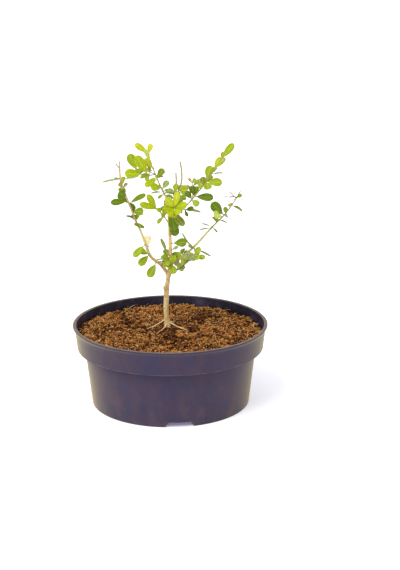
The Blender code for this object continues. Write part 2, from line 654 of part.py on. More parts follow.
def wall_radius(height):
    """Radius of the pot's outer side under the band, at a height."""
    return FOOT_RADIUS + (BODY_TOP_RADIUS - FOOT_RADIUS) * height / BAND_FOOT_HEIGHT


def make_pot(material):
    base_top = BASE_UNDERSIDE + BASE_THICKNESS
    lip_foot = POT_HEIGHT - LIP_DEPTH
    ledge_under = BAND_FOOT_HEIGHT - LEDGE_DROP
    band_inside = BAND_TOP_RADIUS - WALL
    ring_inside = FOOT_RADIUS - FOOT_RING_WIDTH
    profile = [
        (0, BASE_UNDERSIDE),
        (ring_inside - EDGE, BASE_UNDERSIDE),
        (ring_inside, 0),
        (FOOT_RADIUS, 0),
        (wall_radius(ledge_under), ledge_under),
        (BAND_FOOT_RADIUS - 4 * EDGE, BAND_FOOT_HEIGHT - 2 * EDGE),
        (BAND_FOOT_RADIUS - EDGE, BAND_FOOT_HEIGHT - EDGE),
        (BAND_FOOT_RADIUS, BAND_FOOT_HEIGHT + 2 * EDGE),
        (BAND_TOP_RADIUS, lip_foot),
        (LIP_RADIUS - EDGE, lip_foot + EDGE),
        (LIP_RADIUS, lip_foot + 2 * EDGE),
        (LIP_RADIUS - EDGE, POT_HEIGHT - EDGE),
        (LIP_RADIUS - 3 * EDGE, POT_HEIGHT),
        (band_inside + 2 * EDGE, POT_HEIGHT - EDGE),
        (band_inside, POT_HEIGHT - 4 * EDGE),
        (BAND_FOOT_RADIUS - WALL, BAND_FOOT_HEIGHT + LEDGE_DROP),
        (BODY_TOP_RADIUS - WALL, ledge_under),
        (wall_radius(base_top) - WALL, base_top),
        (0, base_top),
    ]
    pot = turned("pot", profile, POT_SIDES, material)
    cutters = [notch(k) for k in range(NOTCH_COUNT)]
    for k in range(DRAIN_COUNT):
        bearing = math.radians(DRAIN_FIRST_BEARING + 360.0 * k / DRAIN_COUNT)
        middle = Vector((math.cos(bearing), math.sin(bearing), 0)) * DRAIN_CIRCLE
        ends = [middle, middle + Vector((0, 0, base_top + BASE_THICKNESS))]
        cutters.append(tube(f"drain_{k}", ends, lambda share, centre, spoke: DRAIN_RADIUS,
                            DRAIN_SIDES))
    apply_boolean(pot, "DIFFERENCE", cutters, "EXACT")
    keep_largest_body(pot)
    shade_round(pot, 30.0)
    return pot


def notch(number):
    """A cutter for one trapezoid opening in the foot skirt, carried a little under the foot."""
    bearing = math.radians(NOTCH_FIRST_BEARING + 360.0 * number / NOTCH_COUNT)
    outward = Vector((math.cos(bearing), math.sin(bearing), 0))
    across = Vector((-outward.y, outward.x, 0))
    spread = (NOTCH_FOOT_WIDTH - NOTCH_TOP_WIDTH) / 2 / NOTCH_HEIGHT
    points = []
    for reach in (FOOT_RADIUS - 4 * FOOT_RING_WIDTH, FOOT_RADIUS + 2 * FOOT_RING_WIDTH):
        for height in (-1.0, NOTCH_HEIGHT):
            half = NOTCH_FOOT_WIDTH / 2 - spread * height
            for sign in (-1, 1):
                points.append(outward * reach + across * (sign * half) + Vector((0, 0, height)))
    faces = [(0, 1, 3, 2), (4, 6, 7, 5), (0, 4, 5, 1), (2, 3, 7, 6), (0, 2, 6, 4), (1, 5, 7, 3)]
    return solid(f"notch_{number}", points, faces)


def soil_level(radius):
    """Height of the soil at a distance from the middle."""
    share = max(0.0, (radius - MOUND_RADIUS) / (SOIL_EDGE - MOUND_RADIUS))
    return GROUND - SOIL_DROP * share ** 1.5


def make_soil(material):
    """Peat that fills the pot: level round the trunk, a little lower and rougher at the wall."""
    rng = random.Random("soil")
    base_top = BASE_UNDERSIDE + BASE_THICKNESS
    clear = 2 * GAP
    profile = [
        (0, base_top + GAP),
        (wall_radius(base_top) - WALL - clear, base_top + GAP),
        (BODY_TOP_RADIUS - WALL - clear, BAND_FOOT_HEIGHT - LEDGE_DROP + GAP),
        (BAND_FOOT_RADIUS - WALL - clear, BAND_FOOT_HEIGHT + LEDGE_DROP + GAP),
    ]
    profile += [(radius, soil_level(radius)) for radius in (SOIL_EDGE,) + SOIL_RINGS]
    profile += [(0, GROUND)]
    soil = turned("soil", profile, SOIL_SIDES, material)
    for vertex in soil.data.vertices:
        radius = math.hypot(vertex.co.x, vertex.co.y) / MM
        on_top = vertex.co.z / MM > BAND_FOOT_HEIGHT + WALL + LEDGE_DROP
        if on_top and MOUND_RADIUS + 1 < radius < SOIL_EDGE - 1:
            vertex.co.z += rng.uniform(-SOIL_BUMP, SOIL_BUMP) * MM
    shade_round(soil, 30.0)
    return soil


def main():
    clear_scene()
    make_pot(finish("pot_plastic", PLASTIC))
    make_soil(finish("peat", PEAT))
    limbs = make_limbs(finish("bark", BARK))
    young = finish("young_leaf", YOUNG_LEAF)
    green = finish("green_leaf", GREEN_LEAF)
    placed = [tree_of(limb) for limb in limbs.values()]
    for name, mass in MASSES.items():
        fresh = "upper" in name or "crown" in name or "centre" in name
        placed.append(tree_of(make_mass(name, mass, placed, young if fresh else green)))


main()
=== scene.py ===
# %% [markdown]
# # A young boxwood bonsai in its nursery bowl
# The measured model comes first: a pot, its peat, a trunk with its boughs, and the masses of leaves.
# It sets the size and the place of everything, and this lesson dresses it. Each step says what the
# thing is on the real plant, how it could be made, and why it is made the way it is.
#
# Sizes below are in millimetres, as a gardener would measure them, and turn into Blender's metres
# when a mesh is made.

# %% Load the measured model
import math
import random
from collections import namedtuple
import bmesh
import bpy
from mathutils import Matrix, Vector, noise
from mathutils.bvhtree import BVHTree


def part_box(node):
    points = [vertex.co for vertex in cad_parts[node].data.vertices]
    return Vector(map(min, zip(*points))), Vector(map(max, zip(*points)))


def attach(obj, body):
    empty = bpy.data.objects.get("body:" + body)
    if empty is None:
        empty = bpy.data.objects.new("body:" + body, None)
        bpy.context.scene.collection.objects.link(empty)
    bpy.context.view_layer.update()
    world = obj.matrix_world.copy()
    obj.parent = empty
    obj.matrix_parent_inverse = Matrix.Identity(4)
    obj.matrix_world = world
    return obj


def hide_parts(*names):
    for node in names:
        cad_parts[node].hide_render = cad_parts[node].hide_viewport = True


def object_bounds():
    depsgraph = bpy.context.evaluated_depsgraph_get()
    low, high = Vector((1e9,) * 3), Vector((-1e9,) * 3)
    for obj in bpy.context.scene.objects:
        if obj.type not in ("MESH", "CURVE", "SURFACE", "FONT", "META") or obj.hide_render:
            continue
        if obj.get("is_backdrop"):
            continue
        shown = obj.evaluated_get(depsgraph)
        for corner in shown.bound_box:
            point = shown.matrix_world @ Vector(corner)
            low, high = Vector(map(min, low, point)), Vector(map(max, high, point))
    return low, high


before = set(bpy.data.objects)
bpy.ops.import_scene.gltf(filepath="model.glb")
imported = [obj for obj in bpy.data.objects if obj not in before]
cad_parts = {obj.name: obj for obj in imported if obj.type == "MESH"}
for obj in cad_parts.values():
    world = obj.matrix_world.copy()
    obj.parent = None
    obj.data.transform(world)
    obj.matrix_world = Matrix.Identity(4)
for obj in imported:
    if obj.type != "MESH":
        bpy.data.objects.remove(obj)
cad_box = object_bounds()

MM = 0.001
scene = bpy.context.scene


def box_mm(node):
    """A solid's lowest and highest corner in millimetres, to the nearest tenth."""
    return [[round(part / MM, 1) for part in corner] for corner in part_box(node)]


print("nodes:", len(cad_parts), "height in mm:", round(cad_box[1].z / MM, 1))

# %% [markdown]
# ## Where the viewer stands
# The bowl is seen from a little above its lip, from well over a metre away, so its ellipses are
# flat and the twigs hardly shrink with distance. A long lens far away gives that, where a short
# one close by would bulge the bowl. The camera is set by how far it tips, turns and leans.

# %% Camera
CAMERA_PLACE = Vector((0.0, -1328.85, 501.76)) * MM
CAMERA_TIP, CAMERA_TURN, CAMERA_LEAN = 0.2776, 0.0230, -0.0014     # radians: down, right, over
SENSOR = 36.0
LENS = 85.51


def aim_camera():
    """A camera built from the three directions that it faces, has on its right and has above it."""
    forward = Vector((math.sin(CAMERA_TURN) * math.cos(CAMERA_TIP),
                      math.cos(CAMERA_TURN) * math.cos(CAMERA_TIP),
                      -math.sin(CAMERA_TIP)))
    level = Vector((math.cos(CAMERA_TURN), -math.sin(CAMERA_TURN), 0.0))
    upright = level.cross(forward)
    right = level * math.cos(CAMERA_LEAN) + upright * math.sin(CAMERA_LEAN)
    up = upright * math.cos(CAMERA_LEAN) - level * math.sin(CAMERA_LEAN)
    data = bpy.data.cameras.new("viewer")
    data.sensor_fit = "VERTICAL"
    data.sensor_height = SENSOR
    data.lens = LENS
    camera = bpy.data.objects.new("viewer", data)
    turn = Matrix((right, up, -forward)).transposed().to_4x4()
    camera.matrix_world = Matrix.Translation(CAMERA_PLACE) @ turn
    scene.collection.objects.link(camera)
    return camera


scene.camera = aim_camera()
print("camera at", [round(v, 3) for v in scene.camera.location])

# %% [markdown]
# ## Tools for meshes
# Leaves, twigs and crumbs of peat come in thousands. An object for each one would choke Blender, and
# instances are lost when the model is exported. So a sheaf gathers points and faces, and becomes
# one joined mesh at the end. Each face remembers which finish it takes.

# %% A sheaf of small shapes
class Sheaf:
    """Points, faces and finishes gathered for one joined mesh."""

    def __init__(self):
        self.points = []
        self.faces = []
        self.finishes = []

    def add(self, points, faces, finish):
        """Add one shape. Its finish is one number for all of its faces, or a number for each."""
        start = len(self.points)
        self.points.extend(tuple(point) for point in points)
        self.faces.extend(tuple(start + corner for corner in face) for face in faces)
        if isinstance(finish, int):
            finish = [finish] * len(faces)
        self.finishes.extend(finish)

    def build(self, name, materials, smooth=True):
        """Make the object, from millimetres to metres."""
        mesh = bpy.data.meshes.new(name)
        points = [(x * MM, y * MM, z * MM) for x, y, z in self.points]
        mesh.from_pydata(points, [], self.faces)
        for material in materials:
            mesh.materials.append(material)
        mesh.polygons.foreach_set("material_index", self.finishes)
        mesh.polygons.foreach_set("use_smooth", [smooth] * len(mesh.polygons))
        made = bpy.data.objects.new(name, mesh)
        scene.collection.objects.link(made)
        return made


print("the sheaf is ready")

# %% What every piece goes through
def reshape(made, kind, **settings):
    """Give a mesh, for good, the shape that a modifier makes of it."""
    modifier = made.modifiers.new(kind, kind)
    for name, value in settings.items():
        setattr(modifier, name, value)
    result = bpy.data.meshes.new_from_object(made.evaluated_get(bpy.context.evaluated_depsgraph_get()))
    made.modifiers.clear()
    made.data = result


def keep(made, slot, *nodes):
    """Fix a piece to the model's one body, and let it stand for those solids."""
    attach(made, "root")
    if nodes:
        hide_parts(*nodes)
    triangles = sum(len(face.vertices) - 2 for face in made.data.polygons)
    print(made.name, "has", triangles, "triangles")


print("reshape() and keep() are ready")

# %% [markdown]
# ## Curves
# A stem, a root or a fibre is drawn as a few points, and a smooth curve runs through them. Blender's
# own curve objects could do that, but a leaf has to know where on the stem it sits, and a radius
# has to change with flares, knobs and rings. Plain functions give both.

# %% Curves through given points
def smooth_route(route, step):
    """Points about `step` apart on a curve that passes through the route's own points."""
    points = [Vector(p) for p in route]
    knots = [points[0] * 2 - points[1]] + points + [points[-1] * 2 - points[-2]]
    curve = []
    for k in range(1, len(knots) - 2):
        p0, p1, p2, p3 = knots[k - 1:k + 3]
        count = max(1, round((p2 - p1).length / step))
        for i in range(count):
            t = i / count
            a = p1 * 2
            b = (p2 - p0) * t
            c = (p0 * 2 - p1 * 5 + p2 * 4 - p3) * t ** 2
            d = (p1 * 3 - p0 - p2 * 3 + p3) * t ** 3
            curve.append((a + b + c + d) / 2)
    return curve + [points[-1]]


def distances(curve):
    """How far along the curve each of its points lies."""
    along = [0.0]
    for first, second in zip(curve, curve[1:]):
        along.append(along[-1] + (second - first).length)
    return along


def point_along(curve, along, distance):
    """The place and the direction at a distance along a curve."""
    for k in range(len(curve) - 1):
        if distance <= along[k + 1] or k == len(curve) - 2:
            part = (distance - along[k]) / (along[k + 1] - along[k])
            heading = (curve[k + 1] - curve[k]).normalized()
            return curve[k].lerp(curve[k + 1], min(part, 1.0)), heading


def bump(value, level, spread):
    """A smooth swelling: 1 at its level, and nothing a few spreads away."""
    return math.exp(-((value - level) / spread) ** 2)


print("curve tools are ready")

# %% A tube round a curve
def tube(curve, radius_at, sides):
    """Rings round a curve, and its two ends. `radius_at` takes the distance along, centre and spoke."""
    along = distances(curve)
    side = Vector((0, 1, 0))
    points, faces = [], []
    for k, centre in enumerate(curve):
        ahead = (curve[min(k + 1, len(curve) - 1)] - curve[max(k - 1, 0)]).normalized()
        side = (side - ahead * side.dot(ahead)).normalized()
        other = ahead.cross(side)
        for i in range(sides):
            bearing = 2 * math.pi * i / sides
            spoke = side * math.cos(bearing) + other * math.sin(bearing)
            points.append(centre + spoke * radius_at(along[k], centre, spoke))
    for k in range(len(curve) - 1):
        for i in range(sides):
            j = (i + 1) % sides
            a, b = k * sides, (k + 1) * sides
            faces.append((a + i, a + j, b + j, b + i))
    last = (len(curve) - 1) * sides
    faces.append(tuple(range(sides - 1, -1, -1)))
    faces.append(tuple(range(last, last + sides)))
    return points, faces


def even(radius):
    """The same radius all along a tube."""
    return lambda along, centre, spoke: radius


print("tube() is ready")

# %% [markdown]
# ## Tools for finishes
# A finish is a small network of nodes. Two effects are wanted almost everywhere: colour that drifts
# from place to place, and a fine relief that catches the light. Each is built once as a shader node
# group with named sockets, and every material sets its own values. The shader itself stays in the
# material, where an exporter can read it.

# %% Node helpers
def linear(red, green, blue):
    """A screen colour, 0 to 255, as the linear colour that a shader takes."""
    def one(value):
        share = value / 255
        if share <= 0.04045:
            return share / 12.92
        return ((share + 0.055) / 1.055) ** 2.4
    return (one(red), one(green), one(blue), 1.0)


def feed(tree, socket, value):
    """Set a socket to a plain value, or link another node's output to it."""
    if isinstance(value, bpy.types.NodeSocket):
        tree.links.new(value, socket)
    else:
        socket.default_value = value


def place(tree, kind, inputs=None, **settings):
    """A node with its settings and inputs. An input is a value or another node's output."""
    made = tree.nodes.new(kind)
    for name, value in settings.items():
        setattr(made, name, value)
    for name, value in (inputs or {}).items():
        feed(tree, made.inputs[name], value)
    return made


def new_group(name, inputs, outputs):
    """An empty shader group. Inputs and outputs are (name, socket kind, value)."""
    group = bpy.data.node_groups.new(name, "ShaderNodeTree")
    for label, kind, value in inputs:
        socket = group.interface.new_socket(name=label, in_out="INPUT", socket_type=kind)
        socket.default_value = value
    for label, kind in outputs:
        group.interface.new_socket(name=label, in_out="OUTPUT", socket_type=kind)
    entry = group.nodes.new("NodeGroupInput")
    leave = group.nodes.new("NodeGroupOutput")
    return group, entry.outputs, leave.inputs


print("node helpers are ready")

# %% Small steps that many finishes share
def here(tree, stretch=None):
    """The place on the object, in metres. A stretch below 1 draws a pattern out along that axis."""
    where = place(tree, "ShaderNodeTexCoord").outputs["Object"]
    if stretch is None:
        return where
    return place(tree, "ShaderNodeVectorMath", {0: where, 1: stretch}, operation="MULTIPLY").outputs["Vector"]


def distance_out(tree, where):
    """How far a place lies from the object's origin."""
    return place(tree, "ShaderNodeVectorMath", {0: where}, operation="LENGTH").outputs["Value"]


def how_high(tree):
    """How high up the object a place lies."""
    return place(tree, "ShaderNodeSeparateXYZ", {"Vector": here(tree)}).outputs["Z"]


def ramp(tree, value, low, high, most=1.0):
    """A value that climbs from 0 at low to `most` at high, and stays there."""
    ends = {"Value": value, "From Min": low, "From Max": high, "To Max": most}
    return place(tree, "ShaderNodeMapRange", ends).outputs["Result"]


def times(tree, first, second):
    return place(tree, "ShaderNodeMath", {0: first, 1: second}, operation="MULTIPLY").outputs[0]


def blend_colours(tree, factor, first, second):
    """From the first colour at factor 0 to the second at factor 1."""
    made = place(tree, "ShaderNodeMix", data_type="RGBA")
    for socket, value in ((0, factor), (6, first), (7, second)):
        feed(tree, made.inputs[socket], value)
    return made.outputs[2]


print("steps for finishes are ready")

# %% Two shared effects
FLOAT, COLOUR, VECTOR = "NodeSocketFloat", "NodeSocketColor", "NodeSocketVector"


def drift_group():
    """Colour that drifts between two values in soft patches. Size is patches to the metre."""
    group, given, out = new_group(
        "colour_drift",
        [("First", COLOUR, (1, 1, 1, 1)), ("Second", COLOUR, (0, 0, 0, 1)), ("Size", FLOAT, 100.0),
         ("Low", FLOAT, 0.35), ("High", FLOAT, 0.65), ("Grain", FLOAT, 0.6), ("Stretch", VECTOR, (1, 1, 1))],
        [("Colour", COLOUR), ("Mask", FLOAT)])
    patches = place(group, "ShaderNodeTexNoise",
                    {"Vector": here(group, given["Stretch"]), "Scale": given["Size"], "Detail": 5.0,
                     "Roughness": given["Grain"]})
    mask = ramp(group, patches.outputs["Fac"], given["Low"], given["High"])
    group.links.new(blend_colours(group, mask, given["First"], given["Second"]), out["Colour"])
    group.links.new(mask, out["Mask"])
    return group


def relief_group():
    """A fine relief on a surface. Size is bumps to the metre, and Depth is in metres."""
    group, given, out = new_group(
        "fine_relief",
        [("Size", FLOAT, 1000.0), ("Depth", FLOAT, 0.0001), ("Strength", FLOAT, 0.5),
         ("Stretch", VECTOR, (1, 1, 1))],
        [("Normal", VECTOR)])
    bumps = place(group, "ShaderNodeTexNoise",
                  {"Vector": here(group, given["Stretch"]), "Scale": given["Size"], "Detail": 4.0})
    raised = place(group, "ShaderNodeBump", {"Height": bumps.outputs["Fac"], "Distance": given["Depth"],
                                             "Strength": given["Strength"]})
    group.links.new(raised.outputs["Normal"], out["Normal"])
    return group


COLOUR_DRIFT = drift_group()
FINE_RELIEF = relief_group()
print("shared effects:", COLOUR_DRIFT.name, FINE_RELIEF.name)

# %% A material from a drift of two colours
def finish(name, first, second=None, drift=None, relief=None, shader=None):
    """A material: its colour drifts from first to second, and its surface has a fine relief.

    With one colour alone, that colour is plain and sits on the shader itself.
    """
    material = bpy.data.materials.new(name)
    material.use_nodes = True
    material.diffuse_color = first
    tree = material.node_tree
    inputs = tree.nodes["Principled BSDF"].inputs
    for label, value in (shader or {}).items():
        inputs[label].default_value = value
    colour = first
    if second:
        ends = {"First": first, "Second": second, **(drift or {})}
        colour = place(tree, "ShaderNodeGroup", ends, node_tree=COLOUR_DRIFT).outputs["Colour"]
    feed(tree, inputs["Base Color"], colour)
    if relief:
        raised = place(tree, "ShaderNodeGroup", relief, node_tree=FINE_RELIEF).outputs["Normal"]
        tree.links.new(raised, inputs["Normal"])
    return material


def colour_of(material):
    """A material's nodes, the socket of its base colour, and the colour that feeds it so far."""
    tree = material.node_tree
    socket = tree.nodes["Principled BSDF"].inputs["Base Color"]
    return tree, socket, socket.links[0].from_socket


print("finish() makes a material")

# %% [markdown]
# ## A plain white studio
# A plant shows best against nothing at all. The floor is a wide sheet of pale paper under an even
# white sky, with one broad soft light from the upper left. More light could wash the paper out, but
# it would bleach the leaves too, so the paper glows a little of itself. Under the bowl no light gets
# in, and the glow fades there. The sky that lights the plant is a touch blue, so that shadows are
# lavender and not grey. What the viewer sees of the sky is plain white.

# %% Sky
WHITE = (1, 1, 1, 1)
SKY_COLOUR, SKY_STRENGTH = (0.93, 0.93, 1.0, 1), 0.80


def make_sky():
    world = bpy.data.worlds.new("white_sky")
    world.use_nodes = True
    tree = world.node_tree
    tree.nodes.clear()
    seen = place(tree, "ShaderNodeBackground", {"Color": WHITE, "Strength": 1.0}).outputs[0]
    lighting = place(tree, "ShaderNodeBackground", {"Color": SKY_COLOUR, "Strength": SKY_STRENGTH}).outputs[0]
    straight = place(tree, "ShaderNodeLightPath").outputs["Is Camera Ray"]
    both = place(tree, "ShaderNodeMixShader", {0: straight, 1: lighting, 2: seen}).outputs[0]
    place(tree, "ShaderNodeOutputWorld", {"Surface": both})
    scene.world = world


make_sky()
print("sky:", scene.world.name)

# %% Floor
FLOOR_HALF = 9000.0
FLOOR_GLOW = 0.39
GLOW_FROM, GLOW_FULL = 74.0, 84.0      # radius round the bowl's middle
# The paper's glow under the bowl: a lavender painted shadow
PAINTED_SHADOW_GLOW = (0.42, 0.34, 0.56, 1.0)


def darken_under_bowl(paper):
    """The paper glows only where light reaches it: under the bowl the glow fades to a lavender painted
    shadow.
    """
    tree = paper.node_tree
    lit = ramp(tree, distance_out(tree, here(tree)), GLOW_FROM * MM, GLOW_FULL * MM)
    glow = blend_colours(tree, lit, PAINTED_SHADOW_GLOW, WHITE)
    tree.links.new(glow, tree.nodes["Principled BSDF"].inputs["Emission Color"])


paper = finish("floor_paper", linear(250, 250, 252), linear(246, 246, 250), {"Size": 3.0}, None,
               {"Roughness": 0.95, "Specular IOR Level": 0.1, "Emission Color": WHITE,
                "Emission Strength": FLOOR_GLOW})
darken_under_bowl(paper)
sheet = Sheaf()
sheet.add([(-FLOOR_HALF, -FLOOR_HALF, 0), (FLOOR_HALF, -FLOOR_HALF, 0), (FLOOR_HALF, FLOOR_HALF, 0),
           (-FLOOR_HALF, FLOOR_HALF, 0)], [(0, 1, 2, 3)], 0)
floor = sheet.build("floor", [paper], smooth=False)
floor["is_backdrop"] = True
print("floor:", floor.name)

# %% Soft light
KEY_STRENGTH = 1.9
KEY_SOFTNESS = 38.0            # degrees across, as seen from the plant
KEY_COLOUR = (1.0, 0.985, 0.95)
KEY_FROM = Vector((-0.62, -0.62, 0.95))


def make_key():
    data = bpy.data.lights.new("soft_key", "SUN")
    data.energy = KEY_STRENGTH
    data.angle = math.radians(KEY_SOFTNESS)
    data.color = KEY_COLOUR
    key = bpy.data.objects.new("soft_key", data)
    key.rotation_euler = KEY_FROM.to_track_quat("Z", "Y").to_euler()
    scene.collection.objects.link(key)


make_key()
scene.view_settings.view_transform = "Standard"
print("light comes from", [round(part, 2) for part in KEY_FROM])

# %% [markdown]
# ## The bowl
# A nursery bowl is one thin shot of dark recycled plastic: a tapering wall on a foot ring, a step
# out to a deep rim band, and a lip a couple of millimetres thick that swells out of the band. The
# measured pot has the same outline with few sides. Here the outline is turned again, with many more
# sides and true round edges, so that reflections run smoothly. A Screw modifier could turn it too,
# but a loop gives the lip and the ledge under the band their own finish at once, painted pale as highlights.

# %% Sizes of the bowl
LIP_RADIUS, _, POT_HEIGHT = box_mm("pot")[1]
POT_SIDES = 288
LIP_DEPTH = 2.7
BAND_TOP_RADIUS, BAND_FOOT_RADIUS = 97.9, 95.7
BAND_FOOT_HEIGHT = 59.4
BODY_TOP_RADIUS = 88.1
FOOT_RADIUS = 81.3
FOOT_RING_WIDTH = 3.0
WALL = 1.8
BASE_UNDERSIDE, BASE_THICKNESS = 5.6, 2.0
LEDGE_DROP = 1.4


def wall_radius(height):
    """Radius of the bowl's outer side under the band, at a height."""
    return FOOT_RADIUS + (BODY_TOP_RADIUS - FOOT_RADIUS) * height / BAND_FOOT_HEIGHT


print("lip:", 2 * LIP_RADIUS, "mm across, and", POT_HEIGHT, "mm over the floor")
print("wall at mid height:", round(wall_radius(BAND_FOOT_HEIGHT / 2), 1), "mm")

# %% The outline under the band
OUTSIDE, LIP, INSIDE, LEDGE = range(4)
BASE_ROUND, FOOT_ROUND, LEDGE_ROUND = 0.8, 0.5, 1.1
WALL_LEVELS = (8, 16, 24, 32, 40, 48, 54)


def arc(centre, radius, start, end, steps=5):
    """Points on a round edge of an outline, in degrees from outward, counting up as positive."""
    points = []
    for k in range(steps + 1):
        angle = math.radians(start + (end - start) * k / steps)
        points.append((centre[0] + radius * math.cos(angle), centre[1] + radius * math.sin(angle)))
    return points


def lower_outline():
    """From the middle underneath to the foot, and up the wall to the step under the band."""
    ring_inside = FOOT_RADIUS - FOOT_RING_WIDTH
    step = BAND_FOOT_HEIGHT - LEDGE_DROP
    under = [(0, BASE_UNDERSIDE), (ring_inside - BASE_ROUND, BASE_UNDERSIDE)]
    under += [(ring_inside, BASE_UNDERSIDE - BASE_ROUND), (ring_inside + 0.1, 0.4), (ring_inside + 0.5, 0)]
    side = [(FOOT_RADIUS - FOOT_ROUND, 0), (FOOT_RADIUS, FOOT_ROUND)]
    side += [(wall_radius(level), level) for level in WALL_LEVELS]
    side += [(wall_radius(step) - 0.1, step - 0.5), (wall_radius(step) + 0.6, step)]
    side += [(BAND_FOOT_RADIUS - LEDGE_ROUND - 1.5, step + 0.2)]
    return under + side


print("outline points under the band:", len(lower_outline()))

# %% The outline of the band, the lip and the inside
BAND_STEPS = 4
LIP_ROUND = 0.9
SWELL_DROP = 2.2               # how far under the lip the band starts to swell


def band_and_lip():
    """Up the band, out to the lip in a soft curve, and over its top."""
    foot, top = BAND_FOOT_HEIGHT + 1.0, POT_HEIGHT - LIP_DEPTH - SWELL_DROP
    band = []
    for k in range(1, BAND_STEPS + 1):
        share = k / BAND_STEPS
        radius = BAND_FOOT_RADIUS + (BAND_TOP_RADIUS - BAND_FOOT_RADIUS) * share
        band.append((radius, foot + (top - foot) * share))
    band += [(BAND_TOP_RADIUS + 0.5, top + 1.4),
             (LIP_RADIUS - 0.8, top + 2.5), (LIP_RADIUS - 0.15, top + 3.3)]
    rounded = arc((LIP_RADIUS - LIP_ROUND, POT_HEIGHT - LIP_ROUND), LIP_ROUND, 0, 90)
    inner_edge = BAND_TOP_RADIUS - WALL
    lip = rounded[4:] + [(inner_edge + 1.0, POT_HEIGHT), (inner_edge + 0.3, POT_HEIGHT - 0.3)]
    return band + rounded[:4], lip


def pot_outline():
    """Outline points from the middle underneath, out, up and back in, each with its finish."""
    base_top = BASE_UNDERSIDE + BASE_THICKNESS
    band, lip = band_and_lip()
    ledge = arc((BAND_FOOT_RADIUS - LEDGE_ROUND, BAND_FOOT_HEIGHT + 0.3), LEDGE_ROUND, -80, 0)
    inner = [(BAND_TOP_RADIUS - WALL, POT_HEIGHT - 1.2)]
    inner += [(BAND_FOOT_RADIUS - WALL, BAND_FOOT_HEIGHT + LEDGE_DROP)]
    inner += [(BODY_TOP_RADIUS - WALL, BAND_FOOT_HEIGHT - LEDGE_DROP)]
    inner += [(wall_radius(base_top) - WALL, base_top), (0, base_top)]
    parts = ((lower_outline(), OUTSIDE), (ledge, LEDGE), (band, OUTSIDE), (lip, LIP), (inner, INSIDE))
    return [(point, kind) for points, kind in parts for point in points]


print("outline points:", len(pot_outline()))

# %% Turn the outline
def turn_outline(sheaf, outline, sides):
    """Turn an outline round the upright axis. An outline point on the axis becomes one point."""
    points, rings, faces, finishes = [], [], [], []
    for (radius, height), _ in outline:
        if radius == 0:
            rings.append([len(points)] * sides)
            points.append((0, 0, height))
            continue
        rings.append(range(len(points), len(points) + sides))
        for i in range(sides):
            bearing = 2 * math.pi * i / sides
            points.append((radius * math.cos(bearing), radius * math.sin(bearing), height))
    for k, (first, second) in enumerate(zip(rings, rings[1:])):
        for i in range(sides):
            j = (i + 1) % sides
            corners = list(dict.fromkeys((first[i], first[j], second[j], second[i])))
            if len(corners) > 2:
                faces.append(tuple(corners))
                finishes.append(outline[k + 1][1])
    sheaf.add(points, faces, finishes)


pot_shape = Sheaf()
turn_outline(pot_shape, pot_outline(), POT_SIDES)
print("turned faces:", len(pot_shape.faces))

# %% [markdown]
# Three notches in the foot ring let water run off, and holes in the base drain the peat. They are
# cut with a Boolean, as a machinist would cut them, because a notch that was woven into the
# outline's own faces would pull the round wall out of shape. The cutters are taken away afterwards.

# %% Cutters for the notches and the drain holes
NOTCH_COUNT, NOTCH_FIRST_BEARING = 3, -84.0
NOTCH_TOP_WIDTH, NOTCH_FOOT_WIDTH = 22.0, 29.4
NOTCH_HEIGHT = 5.2
NOTCH_FACES = [(0, 2, 3, 1), (4, 5, 7, 6), (0, 1, 5, 4), (2, 6, 7, 3), (0, 4, 6, 2), (1, 3, 7, 5)]
DRAIN_COUNT, DRAIN_FIRST_BEARING = 6, 30.0
DRAIN_RADIUS, DRAIN_CIRCLE, DRAIN_SIDES = 4.5, 56.0, 32


def outward_at(first_bearing, number, count):
    """The level direction of one of several places spaced evenly round the bowl."""
    bearing = math.radians(first_bearing + 360.0 * number / count)
    return Vector((math.cos(bearing), math.sin(bearing), 0))


def notch_cutter(sheaf, number):
    outward = outward_at(NOTCH_FIRST_BEARING, number, NOTCH_COUNT)
    across = Vector((-outward.y, outward.x, 0))
    spread = (NOTCH_FOOT_WIDTH - NOTCH_TOP_WIDTH) / 2 / NOTCH_HEIGHT
    points = []
    for reach in (FOOT_RADIUS - 4 * FOOT_RING_WIDTH, FOOT_RADIUS + 2 * FOOT_RING_WIDTH):
        for height in (-1.0, NOTCH_HEIGHT):
            half = NOTCH_FOOT_WIDTH / 2 - spread * height
            for sign in (-1, 1):
                points.append(outward * reach + across * (sign * half) + Vector((0, 0, height)))
    sheaf.add(points, NOTCH_FACES, 0)


def drain_cutter(sheaf, number):
    middle = outward_at(DRAIN_FIRST_BEARING, number, DRAIN_COUNT) * DRAIN_CIRCLE
    top = middle + Vector((0, 0, BASE_UNDERSIDE + 2 * BASE_THICKNESS))
    sheaf.add(*tube([middle, top], even(DRAIN_RADIUS), DRAIN_SIDES), 0)


cutters = Sheaf()
for number in range(NOTCH_COUNT):
    notch_cutter(cutters, number)
for number in range(DRAIN_COUNT):
    drain_cutter(cutters, number)
print("cutters have", len(cutters.faces), "faces")

# %% [markdown]
# The plastic is a dark slate purple that was never quite even: blue and plum swirls from the mould,
# a haze of dried peat low down, and a satin skin that brightens where it turns away from the eye.
# The swirls come from the shared drift of colour. The haze is a second drift, held to the lower
# wall by height. The brightening is a painted highlight for the bright rim that the white room gives
# the bowl: a sheen with a warm tint, partly of dust, which shows at its sides and hardly at its middle.
# The lip and the ledge are painted pale as highlights, the ledge a little scuffed too, and the inside
# is painted darkest as shade, since little light falls into the bowl.

# %% Plastic finishes
HAZE_TOP = 46.0
HAZE_MOST = 0.32
HAZE_COLOUR = linear(112, 88, 82)
HAZE_SPECKS = {"Size": 65.0, "Low": 0.46, "High": 0.70, "Stretch": (1, 1, 0.7)}
SWIRLS = {"Size": 60.0, "Low": 0.36, "High": 0.66, "Grain": 0.78, "Stretch": (1, 1, 0.55)}
